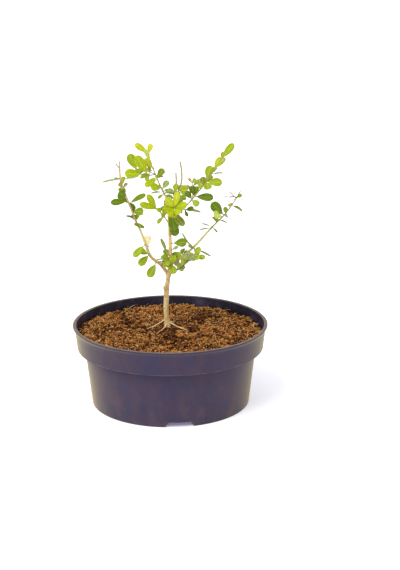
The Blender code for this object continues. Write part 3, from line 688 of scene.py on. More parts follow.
# The sheen paints a warm highlight on the bowl's sides, for the bright rim that the white room gives them;
# its tint is partly dust
SATIN_AND_PAINTED_RIM_LIGHT = {"Roughness": 0.40, "Specular IOR Level": 0.10, "Sheen Weight": 0.55, "Sheen Roughness": 0.38,
         "Sheen Tint": linear(255, 228, 132)}
# Shader of the lip and the ledge, whose pale colours are painted highlights
PAINTED_HIGHLIGHT_EDGE = {"Roughness": 0.45, "Specular IOR Level": 0.2}


def dust_the_foot(material):
    """A patchy haze of dried peat that fades up the wall."""
    tree, socket, swirls = colour_of(material)
    low_down = ramp(tree, how_high(tree), HAZE_TOP * MM, 0.0, HAZE_MOST)
    specks = place(tree, "ShaderNodeGroup", HAZE_SPECKS, node_tree=COLOUR_DRIFT).outputs["Mask"]
    tree.links.new(blend_colours(tree, times(tree, low_down, specks), swirls, HAZE_COLOUR), socket)


outside = finish("bowl_outside", linear(54, 51, 75), linear(68, 55, 71), SWIRLS,
                 {"Size": 900.0, "Depth": 0.0002, "Strength": 0.22}, SATIN_AND_PAINTED_RIM_LIGHT)
dust_the_foot(outside)
plastics = [
    outside,
    # The lip's pale warm colour is a painted highlight where its round edge catches the light
    finish("bowl_lip_painted_highlight", linear(104, 92, 84), linear(132, 116, 98), {"Size": 160.0},
           {"Size": 1500.0, "Depth": 0.0001}, PAINTED_HIGHLIGHT_EDGE),
    # The inside's near-black is painted shade, where little light falls into the bowl
    finish("bowl_inside_painted_shade", linear(14, 12, 32), linear(64, 54, 80), {"Size": 60.0, "Low": 0.48, "High": 0.74},
           {"Size": 900.0, "Depth": 0.0002}, {"Roughness": 0.42, "Specular IOR Level": 0.35}),
    # The ledge's pale colour is a painted highlight on its lit edge, with some scuffing
    finish("bowl_ledge_highlight_and_scuffs", linear(56, 51, 70), linear(92, 80, 86), {"Size": 70.0, "Low": 0.42, "High": 0.68},
           {"Size": 1500.0, "Depth": 0.0001}, PAINTED_HIGHLIGHT_EDGE),
]
print("plastics:", [material.name for material in plastics])

# %% Make the bowl
SEAM_BEARING, SEAM_WIDTH, SEAM_DEPTH = -86.9, 0.7, 0.22
SEAM_FOOT, SEAM_TOP = 1.0, BAND_FOOT_HEIGHT - 2
SHARP_EDGE = 38.0              # degrees between two faces


def press_seam(made):
    """Where the two halves of the mould met, a shallow line runs down the outer wall."""
    for vertex in made.data.vertices:
        x, y, z = vertex.co / MM
        radius, bearing = math.hypot(x, y), math.degrees(math.atan2(y, x))
        on_the_wall = SEAM_FOOT < z < SEAM_TOP and radius > wall_radius(z) - 0.3
        if on_the_wall and abs(bearing - SEAM_BEARING) < SEAM_WIDTH:
            share = 1 - SEAM_DEPTH / radius
            vertex.co.x *= share
            vertex.co.y *= share


bowl = pot_shape.build("bowl", plastics)
press_seam(bowl)
cutter = cutters.build("cutters", [plastics[OUTSIDE]], smooth=False)
reshape(bowl, "BOOLEAN", operation="DIFFERENCE", solver="EXACT", object=cutter)
bpy.data.objects.remove(cutter, do_unlink=True)
bowl.data.set_sharp_from_angle(angle=math.radians(SHARP_EDGE))
keep(bowl, "pot_plastic", "pot")

# %% [markdown]
# ## The peat
# Potting peat is a heap of crumbs: dark where it is damp and shaded, orange-brown where a crumb
# catches the light, with curled fibres and a few pale chips of bark. One surface with a bump map
# would look like painted clay. So the surface is really raised and lowered, and thousands of
# crumbs, chips and fibres lie on it. Their colours are dealt out piece by piece.

# %% How high the peat lies
TRUNK_GAP = 0.3                # how far over the peat the measured trunk is cut off
GROUND = box_mm("trunk")[0][2] - TRUNK_GAP
SOIL_DROP = 2.6
MOUND_RADIUS = 34.0
SOIL_EDGE = BAND_TOP_RADIUS - WALL - 0.25


def soil_level(x, y):
    """Height of the peat without its crumbs: even round the trunk, lower towards the wall."""
    radius = math.hypot(x, y)
    share = max(0.0, (radius - MOUND_RADIUS) / (SOIL_EDGE - MOUND_RADIUS))
    return GROUND - SOIL_DROP * share ** 1.5


print("peat:", GROUND, "mm at the trunk,", round(soil_level(SOIL_EDGE, 0), 1), "mm at the wall")

# %% Lumps, heaps and hollows
# Lumps of four sizes: how far across and how high they are, and the level where noise is sliced
LUMPS = ((15, 1.7, 3.1), (5.2, 2.6, 7.7), (2.1, 1.9, 1.3), (0.95, 0.8, 5.9))
LUMPS_SINK = 0.9
# Caked heaps that stand out, and two hollows in front of the trunk: x, y, half the width, height
HEAPS = ((-66, 21, 9.0, 3.2), (-50, 73, 4.0, 3.6), (13, 88, 4.5, 3.0), (54, 70, 5.0, 2.8), (-84, 2, 5.0, 2.2),
         (4, -9, 6.0, -1.6), (-2, -30, 8.0, -2.2))
TRUNK_FOOT = (-3, 7)
CALM_LEAST, CALM_REACH = 0.22, 42


def lumps(x, y):
    """How far the lumpy surface stands above or below the peat's level."""
    rough = sum(rise * noise.noise(Vector((x / size, y / size, slice_at))) for size, rise, slice_at in LUMPS)
    heaped = sum(rise * math.exp(-((x - cx) ** 2 + (y - cy) ** 2) / half ** 2)
                 for cx, cy, half, rise in HEAPS)
    return rough - LUMPS_SINK + heaped


def calm(x, y):
    """1 over most of the peat, and less close to the trunk, so that its roots stay in view."""
    near = math.hypot(x - TRUNK_FOOT[0], y - TRUNK_FOOT[1])
    return min(1.0, CALM_LEAST + near / CALM_REACH)


def peat_height(x, y):
    return soil_level(x, y) + lumps(x, y) * calm(x, y)


print("peat in front of the trunk:", round(peat_height(-2, -30), 1), "mm")

# %% The lumpy surface
SOIL_RINGS, SOIL_SPOKES = 120, 360
RING_CROWDING = 0.82           # below 1, the rings lie closer together near the wall


def peat_surface():
    """Rings of points over the whole peat. Every second ring is turned by half a step."""
    points = [(0, 0, peat_height(0, 0))]
    for ring in range(1, SOIL_RINGS + 1):
        radius = SOIL_EDGE * (ring / SOIL_RINGS) ** RING_CROWDING
        for spoke in range(SOIL_SPOKES):
            bearing = 2 * math.pi * (spoke + 0.5 * (ring % 2)) / SOIL_SPOKES
            x, y = radius * math.cos(bearing), radius * math.sin(bearing)
            points.append((x, y, peat_height(x, y)))
    faces = []
    for spoke in range(SOIL_SPOKES):
        following = (spoke + 1) % SOIL_SPOKES
        faces.append((0, 1 + spoke, 1 + following))
        for ring in range(SOIL_RINGS - 1):
            a, b = 1 + ring * SOIL_SPOKES, 1 + (ring + 1) * SOIL_SPOKES
            faces.append((a + spoke, b + spoke, b + following, a + following))
    return points, faces


PEAT_SHADER = {"Roughness": 0.95, "Specular IOR Level": 0.25}
# The surface under the crumbs is dark damp peat, and painted shade where it shows in the gaps between them
peat_floor = finish("peat_damp_and_gap_shade", linear(34, 15, 4), linear(78, 43, 16),
                    {"Size": 260.0, "Low": 0.38, "High": 0.66},
                    {"Size": 1900.0, "Depth": 0.0006, "Strength": 0.9}, PEAT_SHADER)
surface = Sheaf()
surface.add(*peat_surface(), 0)
keep(surface.build("peat_surface", [peat_floor]), "peat", "soil")

# %% [markdown]
# Peat breaks into grains, and grains cake into clods. A grain starts as a rough shape of eight or
# twenty faces, whose corners are pushed in and out, and is stretched, turned at random and laid
# down. A clod is no smooth ball: it is a cluster of grains packed round one place. A chip is a grain
# pressed flat, and a fibre is a thin three-sided tube along a few bent steps. A grain on a crest or
# on a clod's top is made tan as painted light, and one in a hollow or under a clod dark as painted
# shade, over real damp patches that darken the peat too.

# %% Shapes to make grains from
GRAIN_SHAPE = ([Vector(p) for p in ((1, 0, 0), (0, 1, 0), (-1, 0, 0), (0, -1, 0), (0, 0, 1), (0, 0, -1))],
               [(0, 1, 4), (1, 2, 4), (2, 3, 4), (3, 0, 4), (1, 0, 5), (2, 1, 5), (3, 2, 5), (0, 3, 5)])


def ball_shape():
    """Corners and faces of a ball of twenty faces and radius 1."""
    mesh = bmesh.new()
    bmesh.ops.create_icosphere(mesh, subdivisions=1, radius=1.0)
    points = [vertex.co.copy() for vertex in mesh.verts]
    faces = [tuple(vertex.index for vertex in face.verts) for face in mesh.faces]
    mesh.free()
    return points, faces


CRUMB_SHAPE = ball_shape()
print("a grain has", len(GRAIN_SHAPE[1]), "faces and a crumb", len(CRUMB_SHAPE[1]))

# %% Where the peat is damp, and where shade is painted
DAMP_BROADLY, PATCH_DAMP, DAMP_PATCH = 0.48, 1.1, 21.0
SHADE_AT_BACK = 0.14
# Hollows are darkened as painted shade
HOLLOW_SHADE = 0.55             # for each millimetre that a place lies low
DAMP_SPOT, DAMP_WIDTH, DAMP_DEPTH, DAMP_MOST = (1.0, -22.0), 12.0, 26.0, 1.5    # before the trunk
DRY_SPOT, DRY_WIDTH, DRY_DEPTH, DRY_MOST = (-40.0, 8.0), 26.0, 24.0, 0.35       # on the left


def spot(x, y, middle, width, depth):
    """1 in the middle of an oval spot, and nothing far from it."""
    return math.exp(-((x - middle[0]) / width) ** 2 - ((y - middle[1]) / depth) ** 2)


def damp_and_shade(x, y):
    """0 where the peat is dry and pale, 1 where it is dark: damp in patches and before the trunk, and painted
    shade in hollows and towards the back.
    """
    cloud = noise.noise(Vector((x / DAMP_PATCH, y / DAMP_PATCH, 12.5)))
    patches = DAMP_BROADLY + PATCH_DAMP * cloud + SHADE_AT_BACK * y / SOIL_EDGE
    hollow = -HOLLOW_SHADE * (lumps(x, y) + LUMPS_SINK)
    damp_and_shade_share = patches + hollow + DAMP_MOST * spot(x, y, DAMP_SPOT, DAMP_WIDTH, DAMP_DEPTH)
    return min(1.0, max(0.0, damp_and_shade_share - DRY_MOST * spot(x, y, DRY_SPOT, DRY_WIDTH, DRY_DEPTH)))


print("damp in front of the trunk:", round(damp_and_shade(*DAMP_SPOT), 2))

# %% Where each tint lies
PEAT_TINTS = [
    ("peat_dark", linear(34, 14, 3), linear(66, 32, 9)),
    ("peat_brown", linear(106, 57, 16), linear(138, 82, 29)),
    ("peat_orange", linear(162, 102, 40), linear(194, 131, 62)),
    ("peat_tan", linear(210, 152, 82), linear(228, 178, 108)),
    ("peat_pale", linear(226, 188, 138), linear(238, 208, 166)),
]
DARK_PEAT, BROWN_PEAT, ORANGE_PEAT, TAN_PEAT, PALE_PEAT = range(5)
TINT_PATCH, PATCH_TINT, GRAIN_TINT = 2.0, 1.3, 0.13    # a patch's size, and how far tints stray
# The levels below are of damp and painted shade together
DARK_FROM, BROWN_FROM, ORANGE_FROM = 0.78, 0.44, 0.04  # how damp
BIG_CRUMB = 0.9                # a big crumb never dries to tan
PALE_CHANCE = 0.03


def tint_at(dice, x, y, size):
    """A grain's tint. Neighbours dry alike, so the tints lie in small patches."""
    patch = noise.noise(Vector((x / TINT_PATCH, y / TINT_PATCH, 21.0)))
    damp_and_shade_share = damp_and_shade(x, y) + PATCH_TINT * patch + dice.gauss(0, GRAIN_TINT)
    if damp_and_shade_share > DARK_FROM:
        return DARK_PEAT
    if damp_and_shade_share > BROWN_FROM:
        return BROWN_PEAT
    if damp_and_shade_share > ORANGE_FROM or size > BIG_CRUMB:
        return ORANGE_PEAT
    return PALE_PEAT if dice.random() < PALE_CHANCE else TAN_PEAT


print("tints of peat:", [name for name, _, _ in PEAT_TINTS])

# %% Grains and chips
def somewhere(dice, margin):
    """A place on the peat, even over its whole round."""
    radius = (SOIL_EDGE - margin) * math.sqrt(dice.random())
    bearing = dice.uniform(0, 2 * math.pi)
    return radius * math.cos(bearing), radius * math.sin(bearing)


def any_turn(dice):
    axis = Vector((dice.gauss(0, 1), dice.gauss(0, 1), dice.gauss(0, 1))).normalized()
    return Matrix.Rotation(dice.uniform(0, 2 * math.pi), 3, axis)


def grain(sheaf, dice, shape, middle, size, flat, tint):
    """One rough grain round its middle."""
    turn = any_turn(dice)
    squash = Vector((dice.uniform(0.9, 1.9), dice.uniform(0.5, 1.0), flat)) * size
    points = [middle + turn @ (corner * squash * (1 + dice.uniform(-0.32, 0.32))) for corner in shape[0]]
    sheaf.add(points, shape[1], tint)


def strewn_grain(sheaf, dice, shape, size, flat, sink, tint=None):
    """A grain somewhere on the peat, sunk into it by a share of its size."""
    x, y = somewhere(dice, 1.2 + size)
    tint = tint_at(dice, x, y, size) if tint is None else tint
    size *= 0.6 + 0.4 * calm(x, y)
    grain(sheaf, dice, shape, Vector((x, y, peat_height(x, y) + size * (1 - sink))), size, flat, tint)


print("grains can be strewn")

# %% Clods
CLOD_GRAINS, CLOD_GROWTH = 10, 1.6
# Levels of how far a grain faces up, as painted light, less damp and painted shade
BROWN_LIT_DRY, ORANGE_LIT_DRY, TAN_LIT_DRY = -0.25, 0.25, 0.85     # from how dry a grain takes each tint


def lit_and_dry_tint(dry):
    """The tint of a grain in a clod, from `dry`: how far it faces up, as painted light, less the damp and
    painted shade where it lies.
    """
    if dry < BROWN_LIT_DRY:
        return DARK_PEAT
    if dry < ORANGE_LIT_DRY:
        return BROWN_PEAT
    return ORANGE_PEAT if dry < TAN_LIT_DRY else TAN_PEAT


def clod(sheaf, dice):
    """Grains caked together. Those that face up are paler, as painted light, and those beneath are darker, as
    painted shade.
    """
    reach = 1.2 + 2.6 * dice.random() ** 1.8
    x, y = somewhere(dice, 2 + reach)
    reach *= 0.5 + 0.5 * calm(x, y)
    middle = Vector((x, y, peat_height(x, y) + 0.1 * reach))
    oval = Vector((dice.uniform(0.9, 1.6), dice.uniform(0.6, 1.1), dice.uniform(0.45, 0.85))) * reach
    ragged = Vector((x, y, reach))
    spin = Matrix.Rotation(dice.uniform(0, math.pi), 3, "Z")
    damp_and_shade_share = damp_and_shade(x, y)
    for _ in range(int(CLOD_GRAINS + CLOD_GRAINS * reach ** CLOD_GROWTH)):
        out = Vector((dice.gauss(0, 1), dice.gauss(0, 1), abs(dice.gauss(0, 1)))).normalized()
        # Facing up paints a grain lighter, and facing down paints it in shade
        tint = lit_and_dry_tint(out.z - damp_and_shade_share + dice.uniform(-0.35, 0.35))
        reach_out = 0.85 + 0.6 * noise.noise(out * 1.6 + ragged)
        place_on = middle + spin @ (out * oval * reach_out)
        grain(sheaf, dice, GRAIN_SHAPE, place_on, dice.uniform(0.3, 0.75), 0.6, tint)


print("a clod that reaches 3 mm has", int(CLOD_GRAINS + CLOD_GRAINS * 3 ** CLOD_GROWTH), "grains")

# %% Fibres
FIBRE_STEPS = 6


def fibre(sheaf, dice, x, y, length, radius, tint, rise):
    """A thin curled tube that lies on the peat, or stands up from it where its rise is steep."""
    bearing = dice.uniform(0, 2 * math.pi)
    bend, droop = dice.uniform(-0.6, 0.6), dice.uniform(0.05, 0.3)
    point = Vector((x, y, peat_height(x, y) + 0.5))
    curve = [point]
    for _ in range(FIBRE_STEPS):
        bearing += bend
        rise -= droop
        step = Vector((math.cos(bearing) * math.cos(rise), math.sin(bearing) * math.cos(rise),
                       math.sin(rise)))
        point = point + step * (length / FIBRE_STEPS)
        if math.hypot(point.x, point.y) > SOIL_EDGE - 1:
            break
        point.z = max(point.z, peat_height(point.x, point.y) + radius)
        curve.append(point)
    if len(curve) > 2:
        sheaf.add(*tube(curve, even(radius), 3), tint)


print("a fibre has", FIBRE_STEPS, "steps")

# %% Strew the peat
GRAINS, CRUMBS, CLODS, CHIPS = 15000, 2600, 520, 1000
FIBRES, EDGE_FIBRES = 800, 110
LOOSE_TINTS = (BROWN_PEAT, ORANGE_PEAT, TAN_PEAT, PALE_PEAT)
CHIP_SHARES, FIBRE_SHARES = (30, 40, 26, 4), (26, 36, 30, 8)


def strew_grains():
    dice, sheaf = random.Random(41), Sheaf()
    for _ in range(GRAINS):
        strewn_grain(sheaf, dice, GRAIN_SHAPE, 0.30 + 0.55 * dice.random() ** 1.4, 0.8, 0.5)
    for _ in range(CRUMBS):
        strewn_grain(sheaf, dice, CRUMB_SHAPE, 0.6 + 0.8 * dice.random() ** 2, 0.75, 0.6)
    return sheaf


def strew_clods():
    dice, sheaf = random.Random(43), Sheaf()
    for _ in range(CLODS):
        clod(sheaf, dice)
    for _ in range(CHIPS):
        tint = dice.choices(LOOSE_TINTS, CHIP_SHARES)[0]
        strewn_grain(sheaf, dice, GRAIN_SHAPE, dice.uniform(0.5, 1.3), 0.2, 0.1, tint)
    return sheaf


def strew_fibres():
    """Fibres lie all over the peat, and stand up where it was pressed against the wall."""
    dice, sheaf = random.Random(47), Sheaf()
    for k in range(FIBRES + EDGE_FIBRES):
        at_edge = k >= FIBRES
        bearing = dice.uniform(0, 2 * math.pi)
        x, y = somewhere(dice, 4)
        if at_edge:
            x, y = ((SOIL_EDGE - dice.uniform(2, 9)) * f(bearing) for f in (math.cos, math.sin))
        rise = dice.uniform(0.4, 1.5) if at_edge else dice.uniform(-0.1, 0.6)
        tint = dice.choices(LOOSE_TINTS, FIBRE_SHARES)[0]
        fibre(sheaf, dice, x, y, dice.uniform(3, 10), dice.uniform(0.13, 0.3), tint, rise)
    return sheaf


peat_finishes = [finish(name, first, second, {"Size": 700.0}, {"Size": 2600.0, "Depth": 0.0003}, PEAT_SHADER)
                 for name, first, second in PEAT_TINTS]
keep(strew_grains().build("peat_crumbs", peat_finishes, smooth=False), "peat")
keep(strew_clods().build("peat_clods", peat_finishes, smooth=False), "peat")
keep(strew_fibres().build("peat_fibres", peat_finishes), "peat")

# %% [markdown]
# ## Trunk and boughs
# Old boxwood has thin, tight bark in pale tan with browner patches, drawn out along the stem, with
# low rings where leaves once sat. Each limb is a tube along a smooth curve. The tubes overlap where
# they fork, and a voxel remesh melts them into one skin with a soft collar at each fork, which
# separate tubes would never have. The bark's relief is then really pressed into that skin.

# %% The limbs, by their routes
Limb = namedtuple("Limb", "route foot tip")
LIMBS = {
    "trunk": Limb(((-2.6, 10, 72), (-4, 9.5, 90), (-4.1, 9, 104), (-3.5, 8.5, 116), (-2.4, 8, 125),
                   (-0.8, 8, 135.3)), 2.7, 2.5),
    "leader": Limb(((-0.9, 8, 134), (0.9, 6, 146), (0.6, 4, 157), (0.2, 3, 178), (-1, 3, 198)), 2.1, 1.4),
    "left_bough": Limb(((-1, 8, 131), (-9, 4, 143.6), (-19.1, -3, 153.9), (-24.2, -10, 169),
                        (-29.3, -16, 185)), 1.9, 1.1),
    "right_bough": Limb(((0.9, 5.6, 143.4), (8, 10, 147), (18, 17, 152.5), (31, 26, 163),
                         (41.5, 32, 173.5)), 1.5, 1.0),
    "upper_right_bough": Limb(((-0.4, 3, 188), (5.2, 1, 193.8), (11, -4, 200.9), (20, -14, 212.6)), 1.1, 0.8),
    "upper_left_bough": Limb(((-0.9, 3, 192.5), (-2.2, 8, 205), (-4, 13, 213)), 1.1, 0.9),
}
print("limbs:", ", ".join(LIMBS))

# %% How thick a limb is
FLARE, FLARE_HEIGHT = 1.1, 2.6
FORK_SWELL, FORK_SWELL_HEIGHT = 0.5, 3.5
WAIST, WAIST_DROP, WAIST_HEIGHT = 0.45, 9.0, 5.0
# Knobs where old twigs fell off: height, half their depth, how far they stand out, left -1 or right 1
KNOBS = ((118.0, 2.2, 1.5, -1.0), (123.5, 1.2, 0.5, 1.0), (107.0, 1.6, 0.35, 1.0), (98.0, 1.8, 0.3, -1.0))
RING_SPACING, RING_RISE, RING_DEPTH = 11.0, 0.16, 0.9
LIMB_STEP, LIMB_SIDES = 1.5, 28


def taper(shape, along, length):
    """Radius of a limb, a root or a stem: even from its foot to its tip."""
    return shape.foot + (shape.tip - shape.foot) * along / length


def limb_radius(name):
    """Taper, with the trunk's flare and knobs, and a low ring at each old node."""
    limb = LIMBS[name]
    length = distances(smooth_route(limb.route, LIMB_STEP))[-1]
    top = limb.route[-1][2]

    def radius_at(along, centre, spoke):
        radius = taper(limb, along, length)
        radius += RING_RISE * bump(along, RING_SPACING * round(along / RING_SPACING), RING_DEPTH)
        if name == "trunk":
            radius += FLARE * math.exp(-(centre.z - GROUND) / FLARE_HEIGHT)
            radius += FORK_SWELL * bump(centre.z, top, FORK_SWELL_HEIGHT)
            radius -= WAIST * bump(centre.z, top - WAIST_DROP, WAIST_HEIGHT)
            for level, depth, size, side in KNOBS:
                radius += size * max(0.0, spoke.x * side) ** 2 * bump(centre.z, level, depth)
        return radius
    return radius_at


wood = Sheaf()
for name, limb in LIMBS.items():
    wood.add(*tube(smooth_route(limb.route, LIMB_STEP), limb_radius(name), LIMB_SIDES), 0)
print("limbs:", len(LIMBS), "faces:", len(wood.faces))

# %% [markdown]
# Bark changes as it ages. At the foot it is cream, higher up it is a warmer tan with brown specks,
# and the boughs' young wood is pale and greenish. All three could be painted by hand, but height and
# distance from the trunk tell them apart, so two ramps blend them and no seam shows.

# %% Bark finishes
BARK_SHADER = {"Roughness": 0.82, "Specular IOR Level": 0.3}
TAN_FROM, TAN_FULL, TAN_MOST = 92.0, 116.0, 0.34
TAN_WOOD, SPECK_COLOUR, YOUNG_WOOD = linear(208, 178, 108), linear(150, 104, 54), linear(206, 202, 132)
SPECKS, SPECKS_MOST = {"Size": 480.0, "Low": 0.50, "High": 0.62, "Stretch": (1, 1, 0.6)}, 0.55
YOUNG_FROM, YOUNG_FULL, YOUNG_MOST = 12.0, 34.0, 0.8


def speck_the_bark(material):
    """A warmer skin from the knobs upward, and brown specks all over."""
    tree, socket, plain = colour_of(material)
    upper = ramp(tree, how_high(tree), TAN_FROM * MM, TAN_FULL * MM, TAN_MOST)
    tanned = blend_colours(tree, upper, plain, TAN_WOOD)
    specks = place(tree, "ShaderNodeGroup", SPECKS, node_tree=COLOUR_DRIFT).outputs["Mask"]
    tree.links.new(blend_colours(tree, times(tree, specks, SPECKS_MOST), tanned, SPECK_COLOUR), socket)


def pale_the_young_wood(material):
    """Paler, greener bark on the boughs the further they reach out from the upright axis."""
    tree, socket, old_wood = colour_of(material)
    reach = distance_out(tree, here(tree, (1, 1, 0)))
    young = ramp(tree, reach, YOUNG_FROM * MM, YOUNG_FULL * MM, YOUNG_MOST)
    tree.links.new(blend_colours(tree, young, old_wood, YOUNG_WOOD), socket)


bark = finish("bark", linear(232, 206, 142), linear(168, 124, 72),
              {"Size": 260.0, "Low": 0.50, "High": 0.72, "Stretch": (1, 1, 0.28)},
              {"Size": 1500.0, "Depth": 0.0003, "Strength": 0.6, "Stretch": (1, 1, 0.25)}, BARK_SHADER)
speck_the_bark(bark)
pale_the_young_wood(bark)
print("bark:", bark.name)

# %% Melt the limbs together and press in the bark
BARK_VOXEL = 0.32
FURROW_WIDTH, FURROW_LENGTH, FURROW_DEPTH = 0.85, 4.5, 0.18
FURROW_USUAL = 0.25            # the pattern's usual value, which leaves the bark where it is
FLECK_WIDTH, FLECK_LENGTH, FLECK_DEPTH = 0.6, 0.8, 0.15


def press_bark(made):
    """Long shallow furrows up the limb, and small flecks across them."""
    normals = [vertex.normal.copy() for vertex in made.data.vertices]
    for vertex, normal in zip(made.data.vertices, normals):
        x, y, z = vertex.co / MM
        furrow = abs(noise.noise(Vector((x / FURROW_WIDTH, y / FURROW_WIDTH, z / FURROW_LENGTH))))
        fleck = noise.noise(Vector((x / FLECK_WIDTH, y / FLECK_WIDTH, z / FLECK_LENGTH)))
        vertex.co += normal * (FURROW_DEPTH * (furrow - FURROW_USUAL) + FLECK_DEPTH * fleck) * MM


limbs = wood.build("trunk_and_boughs", [bark])
reshape(limbs, "REMESH", mode="VOXEL", voxel_size=BARK_VOXEL * MM, use_smooth_shade=True)
press_bark(limbs)
keep(limbs, "bark", *LIMBS)

# %% [markdown]
# Thin pale roots run from the foot of the trunk over the peat and dive into it. They are far finer
# than the melted skin's voxels, so they stay tubes of their own, and wander a little as they go.

# %% Roots that show
ROOTS = (
    Limb(((-4.5, 9.5, 84.5), (-8, 8.5, 82), (-15, 5, 79), (-24, 0.5, 76.2)), 0.75, 0.32),
    Limb(((-3.4, 9, 79.5), (-5.2, 3, 78), (-9.5, -8, 77.2), (-13, -14, 76)), 0.75, 0.32),
    Limb(((-2, 9, 81), (2, 7, 79.6), (8, 1.5, 78), (16, -7, 77.2), (19, -6, 76)), 0.75, 0.3),
    Limb(((-3, 11, 80), (-1, 17, 78), (4, 24, 77), (6, 30, 75.5)), 0.7, 0.3),
    Limb(((-15, 5, 79), (-18, 1, 77.6), (-20, -3, 76.2)), 0.36, 0.2),
    Limb(((8, 1.5, 78), (12, 1, 77.2), (17, 2.5, 76)), 0.34, 0.2),
)
ROOT_STEP, ROOT_SIDES = 0.8, 10
WANDER_SIZE, WANDER_GROWTH, WANDER_MOST = 3.1, 0.1, 0.9
OTHER_WANDER = Vector((9, 0, 0))       # so that it doesn't wander back as it wanders aside
ROOT_ROUGH, ROOT_ROUGHNESS = 0.07, 1.2


def root_line(root):
    """The root's curve, which wanders more the further it gets from the trunk."""
    curve = smooth_route(root.route, ROOT_STEP)
    for k, point in enumerate(curve):
        aside = noise.noise(point / WANDER_SIZE)
        back = noise.noise(point / WANDER_SIZE + OTHER_WANDER)
        point += Vector((aside, back, 0)) * min(WANDER_MOST, WANDER_GROWTH * k)
    return curve


def root_radius(root, length):
    """Taper, a little uneven."""
    def radius_at(along, centre, spoke):
        return taper(root, along, length) + ROOT_ROUGH * noise.noise(centre * ROOT_ROUGHNESS)
    return radius_at


roots = Sheaf()
for root in ROOTS:
    line = root_line(root)
    roots.add(*tube(line, root_radius(root, distances(line)[-1]), ROOT_SIDES), 0)
root_finish = finish("root", linear(242, 212, 160), linear(212, 170, 116), {"Size": 420.0},
                     {"Size": 2200.0, "Depth": 0.0002}, BARK_SHADER)
keep(roots.build("surface_roots", [root_finish]), "bark")

# %% [markdown]
# ## Leaves
# A boxwood leaf is a small leathery paddle: a narrow foot, its widest part past the middle, and a
# blunt tip with a slight notch. It is folded a little along a pale midrib and has a fine yellowish
# edge. Its back is paler. A flat card with a picture on it would be quicker, but it has no edge
# and no back. So each leaf is a thin closed solid, and its faces say whether they are blade, back,
# midrib or edge.
#
# Young leaves are lime and old ones dark green, and where each sits on the plant matters. So every
# leaf is dealt one plain tint, and the tints are materials.

# %% Leaf tints
# A tint is (blade, back), as screen colours
TINTS = {
    "yellow": ((188, 195, 30), (182, 192, 68)),
    "lime": ((164, 181, 8), (170, 184, 62)),
    "fresh": ((147, 165, 22), (160, 174, 76)),
    "green": ((120, 142, 12), (148, 162, 84)),
    "deep": ((98, 124, 2), (140, 154, 82)),
    "dark": ((88, 112, 4), (124, 140, 74)),
    "grey": ((146, 162, 84), (166, 178, 116)),
    # pale is a young lime lightened further by a painted whitish highlight
    "pale": ((196, 210, 92), (204, 214, 130)),
    "olive": ((132, 144, 50), (160, 166, 100)),
    "bud": ((166, 150, 56), (162, 152, 82)),
    "dry": ((250, 232, 178), (244, 224, 172)),
}
YELLOW, LIME, FRESH, GREEN, DEEP, DARK, GREY, PALE, OLIVE, BUD, DRY = TINTS
GROWN_TINTS = {True: (FRESH, LIME, GREEN), False: (GREEN, FRESH, DEEP, GREY)}
print("tints:", ", ".join(TINTS))

# %% [markdown]
# ## How the leaves sit
# The plant grows here by the same rule as the measured model. A shoot is a stem with side twigs.
# The leaves at the front of a stem are named one by one, because each of them shows. A leaf's row
# says how far along the stem it sits, its heading seen from the front (0 is right and 90 is up), its
# lean toward the front, its length and width, the turn of its face from the front up to the sky,
# and its tint. The leaves at the back follow the plant's own habit of pairs.

